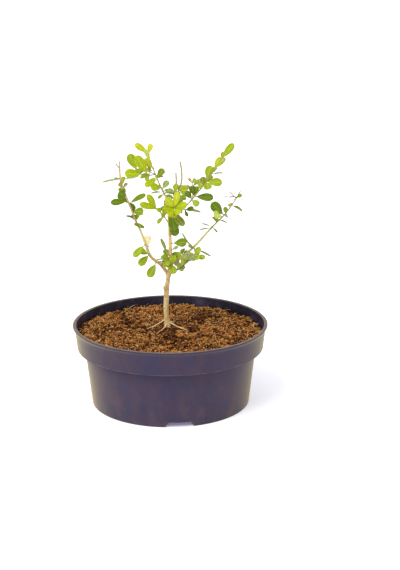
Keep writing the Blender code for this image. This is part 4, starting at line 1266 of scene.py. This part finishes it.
# %% Rows of the shoots
Stem = namedtuple("Stem", "route foot tip bark leaves grown", defaults=((), None))
Leaf = namedtuple("Leaf", "along heading toward length width turn tint")
BACK, PAIRS = "back", "pairs"
YOUNG, TAN_BARK, RUST = "young", "tan_bark", "rust"
SHOOTS = {
    "left_shoot": (
        Stem(((-29.3, -16, 185), (-33, -20, 194), (-37, -24, 206), (-41, -28, 218), (-47, -34, 238),
              (-48, -38, 258.2)), 0.95, 0.8, TAN_BARK, (
            Leaf(3, 85, 62, 11, 12, 10, GREEN), Leaf(14, 154, -20, 10, 6, 62, DEEP),
            Leaf(12, 72, 10, 8, 4, 20, GREEN), Leaf(22.5, 16, 38, 14, 8, 8, GREEN),
            Leaf(21, -8, -25, 19, 7, 76, GREY), Leaf(36, 180, 20, 17.5, 7.5, 15, DEEP),
            Leaf(33, 28, -15, 19, 7, 36, GREEN), Leaf(40.5, 135, 48, 13.5, 11, 0, DEEP),
            Leaf(51, 52, -20, 7, 3.5, 20, GREY), Leaf(52, 118, 40, 8, 4.5, 10, BUD),
            Leaf(61, 190, -20, 20, 6.5, 67, GREY), Leaf(60, 8, -30, 20, 6.5, 70, GREY),
            Leaf(62, 165, 45, 8, 4, 50, GREY)), BACK),
        Stem(((-48, -37, 251.5), (-50, -37.5, 254), (-51.5, -38, 256)), 0.45, 0.35, RUST),
    ),
    "left_low_sprig": (
        Stem(((-12.8, 1.4, 147.5), (-14.2, -2.8, 147.4)), 0.6, 0.55, YOUNG, (
            Leaf(3.8, -120, 24, 16.5, 9, 10, FRESH),)),
    ),
    "left_knee_sprig": (
        Stem(((-20.6, -4.8, 157.6), (-20.8, -8.2, 157.4)), 0.6, 0.5, YOUNG, (
            Leaf(3, -138, 25, 15, 7.5, 10, FRESH), Leaf(3, 148, 20, 14.5, 8, 24, FRESH))),
    ),
    "left_mid_sprig": (
        Stem(((-24.7, -9.6, 168.6), (-25, -13.4, 169)), 0.55, 0.5, YOUNG, (
            Leaf(3.4, -139, 26, 16.5, 7, 14, FRESH),)),
    ),
    "left_dry_sprig": (
        Stem(((-23, -8.8, 165.6), (-21.4, -6, 165.4)), 0.5, 0.45, YOUNG, (
            Leaf(3, 98, -12, 11.5, 9, 0, DRY),)),
    ),
    "upper_left_shoot": (
        Stem(((-4, 13, 213), (-10, 20, 224), (-14, 25, 233), (-19, 30, 245), (-20.4, 31.6, 254.5)),
             0.8, 0.5, YOUNG, (
            Leaf(2.5, 34, -20, 8, 5, 10, GREY), Leaf(3, -148, 15, 8, 4, 40, GREEN),
            Leaf(5, 184, -10, 13, 6, 66, GREY), Leaf(5.5, 12, -42, 12, 6, 50, GREY),
            Leaf(8, 53, -20, 11, 6.5, 10, GREY), Leaf(13, 184, 42, 12, 8.5, 5, LIME),
            Leaf(20, 200, 30, 15, 6.5, 15, LIME), Leaf(23, 222, 32, 12, 6, 5, LIME),
            Leaf(21, 55, -20, 12, 7, 5, GREEN), Leaf(23, 22, -40, 14, 5.5, 66, GREY),
            Leaf(32, 124, 30, 16, 8, 8, YELLOW), Leaf(40.5, 112, 12, 13.5, 5.5, 8, PALE),
            Leaf(47.5, 141, 8, 17.5, 7.2, 6, YELLOW), Leaf(47.5, 82, -6, 10.5, 5.5, 10, YELLOW)), BACK),
        Stem(((-14, 25, 233), (-20, 21, 233), (-26.5, 18, 234), (-33, 17, 238.5)),
             0.6, 0.45, YOUNG, (
            Leaf(8.5, 119, 16, 24, 10.5, 6, LIME), Leaf(21.5, 115, -8, 19, 9.5, 4, FRESH),
            Leaf(15.5, 170, 24, 18, 10.5, 20, LIME), Leaf(6, 190, -30, 13, 6.5, 30, FRESH))),
        Stem(((-14, 25, 233), (-20, 34, 234), (-27, 43, 234)), 0.55, 0.45, YOUNG, (), PAIRS),
    ),
    "left_centre_shoot": (
        Stem(((-0.6, 3, 186.5), (-5, 8, 192.5), (-9, 13, 196), (-13, 17, 198.5), (-16, 19.5, 200.5)),
             0.7, 0.5, YOUNG, (
            Leaf(9, 88, 32, 13, 6.5, 5, LIME), Leaf(10, 222, 0, 10, 5, 35, FRESH),
            Leaf(15, 122, 10, 7, 4, 10, LIME), Leaf(16, -60, -35, 9, 6, 30, GREEN),
            Leaf(22, 107, 8, 18, 7, 5, LIME), Leaf(22, 155, 16, 18.5, 7, 8, LIME),
            Leaf(23, 6, -30, 12, 5, 72, GREY), Leaf(24, 130, -45, 12, 7, 10, GREEN)), BACK),
    ),
    "crown_shoot": (
        Stem(((-1, 3, 197.6), (1.5, 6, 203), (4, 9, 209), (6, 13, 216), (7, 16, 224),
              (6.8, 18.5, 236)), 0.9, 0.7, YOUNG, (
            Leaf(9, 170, -40, 11, 6, 20, GREEN), Leaf(15, 60, -40, 12, 7, 20, GREEN),
            Leaf(21, 84, 0, 11, 5.5, 10, FRESH), Leaf(22, 150, -20, 9, 5, 30, GREY)), BACK),
        Stem(((-0.2, 4.4, 200), (0.6, -1, 200.6), (3, -5, 203), (5.4, -10, 206)),
             0.65, 0.6, TAN_BARK, (
            Leaf(16, 126, 22, 15, 7.5, 0, YELLOW), Leaf(16, 80, 22, 18.5, 7, 0, YELLOW),
            Leaf(15, 170, 38, 13, 7.5, 6, LIME), Leaf(16, 212, 55, 12, 7, 10, LIME),
            Leaf(14, -104, 46, 10, 8, 4, YELLOW), Leaf(15, 26, 26, 15, 8, 4, LIME),
            Leaf(14, 50, -6, 19, 5, 30, GREEN), Leaf(16, -30, 62, 11, 7, 0, LIME),
            Leaf(5, -74, 16, 20, 10.5, 6, DEEP), Leaf(5, -15, 27, 20.5, 8.5, 12, OLIVE))),
        Stem(((5, 11, 212.5), (10, 14, 219.5), (12.6, 15.5, 229), (12.4, 17.5, 239), (11, 18, 247.5)),
             0.85, 0.75, YOUNG, (
            Leaf(8, 12, 42, 12, 10.5, 2, FRESH), Leaf(9, 150, -50, 10, 6, 20, GREEN)), BACK),
    ),
    "leader_top_sprig": (
        Stem(((-0.8, 3, 193.6), (0, 0, 193.2)), 0.6, 0.55, YOUNG, (
            Leaf(3, -68, 6, 19.5, 10, 6, DEEP),)),
    ),
    "upper_right_sprig": (
        Stem(((13.6, -6.9, 204.4), (16.4, -8.6, 203.2)), 0.55, 0.5, YOUNG, (
            Leaf(2.5, 14, 16, 9, 6, 20, DEEP), Leaf(2.5, -12, -30, 19, 6, 58, GREY),
            Leaf(2, -62, 40, 8, 5, 50, DARK))),
    ),
    "upper_right_shoot": (
        Stem(((20, -14, 212.6), (26.8, -22, 222.7), (33, -28, 231.7), (39, -33, 241.8),
              (45, -37, 252), (52, -40, 262.8)), 0.75, 0.5, YOUNG, (
            Leaf(4, -30, 38, 10, 6.5, 4, FRESH), Leaf(5, 128, -18, 10, 6.5, 10, DARK),
            Leaf(9, 82, -38, 11, 6, 20, DARK), Leaf(10, 2, 18, 19, 8.5, 22, DEEP),
            Leaf(11, 108, 12, 11, 7, 20, DARK), Leaf(33.5, -72, 50, 10, 8, 0, FRESH),
            Leaf(28, 97, 34, 11.5, 7, 10, OLIVE), Leaf(33.5, 1, 20, 15.5, 8, 10, FRESH),
            Leaf(35, 78, 14, 15, 8, 5, FRESH), Leaf(43, 8, -10, 12.5, 6, 70, GREY),
            Leaf(49, 66, 18, 14.5, 6, 10, LIME), Leaf(50, 46, -8, 15, 6, 25, PALE),
            Leaf(62.5, 54, 8, 19, 7.5, 4, FRESH), Leaf(63, 70, -40, 9, 5, 10, FRESH)), BACK),
        Stem(((22.4, -16.9, 216.3), (23.2, -20, 225), (22.2, -21.5, 235)), 0.5, 0.4, TAN_BARK, (
            Leaf(11, 150, 10, 8, 4, 20, BUD), Leaf(14, 40, -25, 11, 4.5, 30, GREY),
            Leaf(17, 62, 20, 7, 4, 10, FRESH), Leaf(18, 128, -20, 6, 3, 10, BUD))),
    ),
    "right_node_sprig": (
        Stem(((23.6, 21, 156.4), (24.6, 17.8, 157.4)), 0.6, 0.55, YOUNG, (
            Leaf(3, 138, -22, 20, 6.5, -72, GREEN), Leaf(3, -18, 18, 20, 6, 70, OLIVE),
            Leaf(3, -46, 32, 9, 5.5, 15, GREEN), Leaf(3, 140, 20, 7, 4, 20, GREY))),
    ),
    "right_back_sprig": (
        Stem(((12.6, 13.4, 149.3), (13.2, 17, 151)), 0.6, 0.5, YOUNG, (
            Leaf(3, 8, -45, 13, 7.5, 25, GREEN), Leaf(3, 90, -62, 11, 6.5, 25, GREEN))),
    ),
    "right_shoot": (
        Stem(((41.5, 32, 173.5), (48, 35, 179.5), (57, 39, 187.5), (67, 44, 200), (74, 48, 211)),
             0.85, 0.45, YOUNG, (
            Leaf(3, 152, -10, 11, 5, 68, GREY), Leaf(3.5, -40, 18, 8, 4, 62, GREEN),
            Leaf(1.6, 186, -10, 12, 5, 70, GREY), Leaf(14, -20, -20, 10, 5.5, 66, GREEN),
            Leaf(21, 132, 14, 19.5, 11, 4, DEEP), Leaf(19, 152, 36, 13, 9, 24, PALE),
            Leaf(23, 88, 20, 8, 5, 20, OLIVE), Leaf(34, -24, -28, 16, 6, 50, GREEN),
            Leaf(43, -10, -20, 13, 5, 76, GREY), Leaf(41, 154, -10, 13, 5, 76, GREY),
            Leaf(44, 36, 28, 7, 4, 15, GREEN)), BACK),
        Stem(((69.2, 45.3, 203.5), (66, 46, 206.3), (62.5, 47, 209.8)), 0.4, 0.3, RUST),
        Stem(((69.8, 45.6, 204.4), (66.5, 43.5, 205.5), (62.4, 41.5, 206.3)), 0.4, 0.3, RUST),
    ),
    "lower_right_shoot": (
        Stem(((-1, 7.8, 133), (6, 1.5, 138), (12, -6, 144), (17, -12, 150), (22, -17, 156),
              (28, -22, 160)), 0.75, 0.55, RUST, (
            Leaf(26, 66, -30, 11, 6, 20, GREEN), Leaf(35.5, 58, 42, 14, 10, 4, GREY),
            Leaf(37, 150, -28, 9, 5, 25, GREY), Leaf(45, 4, 18, 11, 5.5, 12, FRESH),
            Leaf(44, 58, -18, 12, 5.5, 10, FRESH), Leaf(45, 20, 60, 9, 5.5, 10, FRESH)), BACK),
    ),
    "leader_sprig": (
        Stem(((0.4, 3.4, 166), (3.2, 1, 167)), 0.6, 0.55, YOUNG, (
            Leaf(3.2, 6, 10, 14.5, 9, 6, GREEN),)),
    ),
    "leader_low_sprig": (
        Stem(((0.5, 3.8, 159), (2.4, 1.8, 160)), 0.55, 0.5, YOUNG, (
            Leaf(2.4, 34, 20, 7.5, 4, 30, GREY),)),
    ),
    "fork_left_sprig": (
        Stem(((0.7, 4.8, 149.6), (-1.8, 1.2, 150.2)), 0.7, 0.6, YOUNG, (
            Leaf(3.6, 138, 28, 9, 5.5, 12, FRESH), Leaf(3.6, 184, -24, 14, 5.5, 70, GREY),
            Leaf(3.8, 26, 52, 12, 7, 6, FRESH), Leaf(3.6, 250, 52, 8, 5.5, 14, FRESH))),
        Stem(((-0.9, 2.4, 150), (-2, 1.6, 152.2), (-2.8, 1.4, 154.6)), 0.45, 0.35, YOUNG, (
            Leaf(4.4, 105, -4, 18.5, 5, 46, GREY),)),
    ),
    "fork_right_sprig": (
        Stem(((0.7, 4.8, 151), (3.6, 1.4, 151.4)), 0.7, 0.6, YOUNG, (
            Leaf(3.8, 32, 26, 11, 5.5, 12, FRESH), Leaf(3.4, 44, 30, 7.5, 5, 14, GREEN),
            Leaf(3.8, -48, 26, 17, 6.5, 12, GREY), Leaf(3.4, 32, -20, 10, 6, 30, FRESH))),
    ),
    "fork_low_sprig": (
        Stem(((0.3, 6.6, 144.5), (0.4, 1.8, 146)), 0.7, 0.6, YOUNG, (
            Leaf(4.6, 184, 36, 8.5, 5.5, 14, FRESH), Leaf(4.6, -128, 60, 7, 5.5, 8, FRESH),
            Leaf(4.4, -64, 46, 13, 7.5, 6, FRESH), Leaf(4.4, 176, -20, 14, 4.5, 74, GREY))),
    ),
    "back_shoot": (
        Stem(((-0.8, 3, 190), (1, 11, 194), (3, 22, 197.5), (5, 34, 201), (6, 45, 207)),
             0.75, 0.5, YOUNG, (), PAIRS),
    ),
    "low_back_shoot": (
        Stem(((0.6, 4.8, 152), (0, 14, 148.5), (-0.5, 26, 145), (1, 38, 143)),
             0.75, 0.5, YOUNG, (), PAIRS),
    ),
}
named_leaves = sum(len(stem.leaves) for shoot in SHOOTS.values() for stem in shoot)
print("shoots:", len(SHOOTS), "named leaves:", named_leaves)

# %% The outline of a blade
# Stations along a leaf, closer together towards the tip, and columns across it
STATIONS = (0.0, 0.07, 0.14, 0.22, 0.32, 0.43, 0.54, 0.65, 0.75, 0.84, 0.91, 0.96, 0.99, 1.0)
COLUMNS = (-1.0, -0.93, -0.55, -0.07, 0.07, 0.55, 0.93, 1.0)
PETIOLE_SHARE, PETIOLE_HALF_WIDTH = 0.09, 0.38
# How slowly the blade widens from its foot and narrows to its tip
OUTLINE_FOOT, OUTLINE_TIP = 1.0, 0.50
TIP_SHARE = 0.22


def blade_half_width(share):
    """Half the width at a share of the blade's length, where the widest place is 1."""
    widest = OUTLINE_FOOT / (OUTLINE_FOOT + OUTLINE_TIP)
    most = widest ** OUTLINE_FOOT * (1 - widest) ** OUTLINE_TIP
    share = min(max(share, 0.0), 1.0)
    return share ** OUTLINE_FOOT * (1 - share) ** OUTLINE_TIP / most


def half_width(t, half_most):
    """Half the leaf's width at a share of its whole length, with its stalk."""
    if t == STATIONS[-1]:
        return TIP_SHARE * half_most
    blade = (t - PETIOLE_SHARE) / (1 - PETIOLE_SHARE)
    return max(PETIOLE_HALF_WIDTH * (1 - 0.5 * t), half_most * blade_half_width(blade))


print("widest at", round(OUTLINE_FOOT / (OUTLINE_FOOT + OUTLINE_TIP), 2), "of the blade")

# %% How a leaf faces
FRONT = Vector((0.0, -0.96, 0.28))


def leaf_axes(leaf, swing):
    """The leaf's direction and its upper face, from its heading, lean and turn."""
    heading, toward = math.radians(leaf.heading + swing), math.radians(leaf.toward)
    ahead = Vector((math.cos(heading) * math.cos(toward), -math.sin(toward),
                    math.sin(heading) * math.cos(toward)))
    face = (FRONT - ahead * FRONT.dot(ahead)).normalized()
    side = ahead.cross(face)
    if side.z < 0:
        side = -side
    turn = math.radians(leaf.turn)
    return ahead, face * math.cos(turn) + side * math.sin(turn)


level_face = leaf_axes(Leaf(0, 0, 0, 9, 5, 0, None), 0)[1]
print("a level leaf to the right faces", [round(part, 2) for part in level_face])

# %% Points of one leaf
LEAF_THICKNESS, THINNER_AT_EDGE = 0.34, 0.32
LEAF_FOLD, FOLD_SPREAD = 0.18, 0.06
LEAF_CURL, CURL_SPREAD = 0.10, 0.08
WIDTH_SPREAD = 0.08
WAVE, WAVES_ALONG, WAVES_ACROSS = 0.05, 9, 3
TIP_NOTCH, NOTCH_FROM, NOTCH_NARROW = 0.022, 0.9, 2.2
RIM_DROP = 0.10


def leaf_points(root, leaf, swing, vary):
    """For each station, a row of points on the upper side and a row on the back."""
    ahead, up = leaf_axes(leaf, swing)
    across = ahead.cross(up)
    half_most = leaf.width * (1 + WIDTH_SPREAD * vary[0]) / 2
    fold = LEAF_FOLD + FOLD_SPREAD * vary[1]
    curl = LEAF_CURL + CURL_SPREAD * vary[2]
    points = []
    for t in STATIONS:
        half = half_width(t, half_most)
        middle = root + ahead * (leaf.length * t) - up * (curl * leaf.length * t * t)
        for side in (1, -1):
            for c in COLUMNS:
                wave = WAVE * half * math.sin(WAVES_ALONG * t + WAVES_ACROSS * c)
                lift = fold * abs(c) * half - RIM_DROP * half * c ** 4 + wave
                thick = LEAF_THICKNESS * (0.5 - THINNER_AT_EDGE * abs(c)) * side
                notch = TIP_NOTCH * leaf.length * max(0.0, 1 - NOTCH_NARROW * abs(c))
                back = notch if t > NOTCH_FROM else 0.0
                points.append(middle + across * (c * half) + up * (lift + thick) - ahead * back)
    return points


print("points in one leaf:", 2 * len(STATIONS) * len(COLUMNS))

# %% Faces of one leaf
BLADE, BEHIND, MIDRIB, RIM = range(4)


def leaf_faces():
    """The faces between those rows, and the part of the leaf that each belongs to."""
    wide = len(COLUMNS)
    faces, parts = [], []
    for k in range(len(STATIONS) - 1):
        a, b = 2 * wide * k, 2 * wide * (k + 1)
        for i in range(wide - 1):
            edge = i in (0, wide - 2)
            faces.append((a + i, a + i + 1, b + i + 1, b + i))
            parts.append(RIM if edge else MIDRIB if i == wide // 2 - 1 else BLADE)
            faces.append((a + wide + i + 1, a + wide + i, b + wide + i, b + wide + i + 1))
            parts.append(RIM if edge else BEHIND)
        for i, flip in ((0, True), (wide - 1, False)):
            corners = (a + i, b + i, b + wide + i, a + wide + i)
            faces.append(corners if flip else corners[::-1])
            parts.append(RIM)
    last = 2 * wide * (len(STATIONS) - 1)
    for start, flip in ((0, False), (last, True)):
        ring = list(range(start, start + wide)) + list(range(start + 2 * wide - 1, start + wide - 1, -1))
        faces.append(tuple(ring if flip else ring[::-1]))
        parts.append(RIM)
    return faces, parts


LEAF_FACES, LEAF_PARTS = leaf_faces()
print("faces in one leaf:", len(LEAF_FACES))

# %% The plant's rule for leaves that aren't named
FIRST_NODE, NODE_SPACING, BACK_SPACING = 10.0, 7.5, 11.0
BARE_TIP = 17.0
OPENING = 64.0
BACK_SWING = 32.0
GROWN_LENGTH, GROWN_WIDTH, GROWN_TURN = (10.0, 13.0), 0.6, (10.0, 40.0)


def grown_leaves(stem, curve, dice):
    """Leaves at even nodes: pairs turned a quarter each time, or one at the back."""
    leaves = []
    along = distances(curve)
    opening = math.radians(OPENING)
    spacing, bare = (BACK_SPACING, BARE_TIP) if stem.grown == BACK else (NODE_SPACING, 0.0)
    node, quarter = FIRST_NODE, 0
    while stem.grown and node < along[-1] - bare:
        _, ahead = point_along(curve, along, node)
        level = ahead.cross(Vector((0, 1, 0))).normalized()
        behind = level.cross(ahead)
        bearings = (quarter, quarter + 180)
        if stem.grown == BACK:
            bearings = (90 + dice.uniform(-BACK_SWING, BACK_SWING),)
        for bearing in bearings:
            turned_to = math.radians(bearing)
            across = level * math.cos(turned_to) + behind * math.sin(turned_to)
            way = ahead * math.cos(opening) + across * math.sin(opening)
            length = dice.uniform(*GROWN_LENGTH)
            leaves.append(Leaf(node, math.degrees(math.atan2(way.z, way.x)), math.degrees(math.asin(-way.y)),
                               length, length * GROWN_WIDTH, dice.uniform(*GROWN_TURN), None))
        node += spacing
        quarter += 90
    return leaves


print("pairs every", NODE_SPACING, "mm")

# %% Stems and buds
TWIG_STEP, TWIG_SIDES, TWIG_LEAST = 1.6, 8, 0.48
NODE_SWELL, NODE_DEPTH = 0.17, 0.8
TWIG_ROUGH, TWIG_ROUGH_SIZE = 0.08, 1.3
BUD_WIDTH, BUD_LENGTH = 0.385, 0.77
BUD_OUT, BUD_UP = 0.9, 0.5     # along the leaf and along the stem, from where they meet
BARKS = (YOUNG, TAN_BARK, RUST)


def stem_radius(stem, length, nodes):
    """Taper, with a swelling where each leaf sits."""
    def radius_at(along, centre, spoke):
        radius = max(TWIG_LEAST, taper(stem, along, length))
        radius += NODE_SWELL * max((bump(along, node, NODE_DEPTH) for node in nodes), default=0.0)
        return radius * (1 + TWIG_ROUGH * noise.noise(centre / TWIG_ROUGH_SIZE))
    return radius_at


def grow_bud(sheaf, place_at, ahead):
    """A small pointed bud in the angle of a leaf."""
    turn = ahead.to_track_quat("Z", "Y").to_matrix()
    points = [place_at + turn @ Vector((p.x * BUD_WIDTH, p.y * BUD_WIDTH, p.z * BUD_LENGTH))
              for p in CRUMB_SHAPE[0]]
    sheaf.add(points, CRUMB_SHAPE[1], BARKS.index(YOUNG))


print("barks of twigs:", ", ".join(BARKS))

# %% [markdown]
# A leaf may not grow through a limb or through the next shoot. Before one is kept, its faces are
# held against search trees of everything already in place. A crowded leaf swings aside a little,
# and one that finds no room is left out. The tests are quick because each tree is built only once.

# %% Grow one stem
LEAF_TRIES = (0, 12, -12, 25, -25)
COARSE_STEP = 6.0


def tree_of(points, faces):
    return BVHTree.FromPolygons([tuple(point) for point in points], faces)


def roomy_leaf(root, leaf, vary, placed):
    """The first swing at which the leaf touches nothing, with its points. None where all do."""
    for swing in LEAF_TRIES:
        points = leaf_points(root, leaf, swing, vary)
        trial = tree_of(points, LEAF_FACES)
        if not any(trial.overlap(other) for other in placed):
            return swing, points
    return None, None


def grow_stem(stem, young, placed, dice, leaf_dice, twigs, leaves):
    """One stem with its leaves, each in the sheaf of its tint. Gives the leaves that found no room."""
    coarse = smooth_route(stem.route, COARSE_STEP)
    coarse_along = distances(coarse)
    curve = smooth_route(stem.route, TWIG_STEP)
    rows = list(stem.leaves) + grown_leaves(stem, coarse, dice)
    nodes = [leaf.along for leaf in rows]
    radius_at = stem_radius(stem, distances(curve)[-1], nodes)
    twigs.add(*tube(curve, radius_at, TWIG_SIDES), BARKS.index(stem.bark))
    crowded = []
    for leaf in rows:
        vary = [dice.uniform(-1, 1) for _ in range(3)]
        root, ahead = point_along(coarse, coarse_along, leaf.along)
        tint = leaf.tint or leaf_dice.choice(GROWN_TINTS[young])
        swing, points = roomy_leaf(root, leaf, vary, placed)
        if points is None:
            crowded.append(leaf)
            continue
        leaves[tint].add(points, LEAF_FACES, LEAF_PARTS)
        grow_bud(twigs, root + leaf_axes(leaf, swing)[0] * BUD_OUT + ahead * BUD_UP, ahead)
    return crowded


print("a leaf is tried at", LEAF_TRIES, "degrees")

# %% Grow the shoots
YOUNG_MASSES = [name for name in SHOOTS if "upper" in name or "crown" in name or "centre" in name]
OLD_MASSES = [name for name in SHOOTS if name not in YOUNG_MASSES and name != "left_dry_sprig"]


def grow_plant():
    """All the shoots. A shoot's leaves may touch each other, but not a limb or an earlier shoot."""
    twigs, leaves = Sheaf(), {tint: Sheaf() for tint in TINTS}
    placed = [tree_of(*tube(smooth_route(limb.route, 5.0), even(limb.tip), 8)) for limb in LIMBS.values()]
    crowded = []
    for name, shoot in SHOOTS.items():
        dice, leaf_dice = random.Random(name), random.Random(name + "_tint")
        before = {tint: (len(sheaf.points), len(sheaf.faces)) for tint, sheaf in leaves.items()}
        for stem in shoot:
            crowded += grow_stem(stem, name in YOUNG_MASSES, placed, dice, leaf_dice, twigs, leaves)
        for tint, sheaf in leaves.items():
            first_point, first_face = before[tint]
            if len(sheaf.faces) > first_face:
                grown = [tuple(corner - first_point for corner in face) for face in sheaf.faces[first_face:]]
                placed.append(tree_of(sheaf.points[first_point:], grown))
    return twigs, leaves, crowded


twigs, leaves, crowded = grow_plant()
print("leaves:", sum(len(sheaf.faces) for sheaf in leaves.values()) // len(LEAF_FACES))
print("left out for want of room:", len(crowded))

# %% [markdown]
# The blade is waxy, so it has a soft shine, and light that comes through it from behind makes it
# glow. A little subsurface colour stands in for that glow. The back is dull. Back, midrib and edge
# are small, so each takes one plain colour, set on the shader itself.

# %% Leaf finishes
WAXY = {"Roughness": 0.45, "Specular IOR Level": 0.22, "Subsurface Weight": 0.12, "Subsurface Scale": 0.0006}
DULL = {"Roughness": 0.62, "Specular IOR Level": 0.3}
LEAF_GRAIN = {"Size": 1400.0, "Depth": 0.00012, "Strength": 0.25}
BLADE_DRIFT, BLADE_SHADE = {"Size": 170.0, "Low": 0.45, "High": 0.75}, 0.80
RIB_LIGHTER = 26
EDGE_WARMTH = (236, 226, 120)


def leaf_finishes(tint):
    """The materials of one tint, in the order blade, back, midrib, edge."""
    screen, back = TINTS[tint]
    blade = linear(*screen)
    darker = tuple(BLADE_SHADE * value for value in blade[:3]) + (1.0,)
    rib = linear(*(min(255, value + RIB_LIGHTER) for value in screen))
    edge = linear(*((2 * value + warm) // 3 for value, warm in zip(screen, EDGE_WARMTH)))
    return [finish(f"leaf_{tint}", blade, darker, BLADE_DRIFT, LEAF_GRAIN, WAXY),
            finish(f"leaf_back_{tint}", linear(*back), relief=LEAF_GRAIN, shader=DULL),
            finish(f"leaf_rib_{tint}", rib, shader=DULL),
            finish(f"leaf_edge_{tint}", edge, shader=DULL)]


YOUNG_LEAF_TINTS = (YELLOW, LIME, PALE, FRESH, BUD)
for tint, sheaf in leaves.items():
    made = sheaf.build(f"{tint}_leaves", leaf_finishes(tint))
    if tint == DRY:
        keep(made, "leaf_dry", "left_dry_sprig")
    elif tint in YOUNG_LEAF_TINTS:
        keep(made, "leaf_lime", *(YOUNG_MASSES if tint == LIME else ()))
    else:
        keep(made, "leaf_green", *(OLD_MASSES if tint == GREEN else ()))

# %% [markdown]
# A twig starts green, weathers to tan and is rusty where it was cut back. All twigs are one mesh,
# since the limbs they grow from are one skin, and each face takes the bark of its own stem.

# %% Twigs
TWIG_SHADER = {"Roughness": 0.6, "Specular IOR Level": 0.35}
TWIG_COLOURS = (("twig_young", (132, 136, 50), (164, 150, 80), 160.0),
                ("twig_tan", (208, 184, 130), (170, 140, 86), 220.0),
                ("twig_rust", (152, 108, 66), (112, 80, 44), 240.0))

twig_finishes = [finish(name, linear(*first), linear(*second), {"Size": size}, None, TWIG_SHADER)
                 for name, first, second, size in TWIG_COLOURS]
keep(twigs.build("twigs", twig_finishes), "bark")

# %% [markdown]
# ## The sizes at the end
# The dressed plant must stay inside the measured one, give or take the thickness of a leaf. So both
# boxes are written down side by side before the model is closed.

# %% Sizes and the end
dressed_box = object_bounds()
for label, (low, high) in (("measured", cad_box), ("dressed", dressed_box)):
    print(label, [round(value / MM, 1) for value in low], [round(value / MM, 1) for value in high])
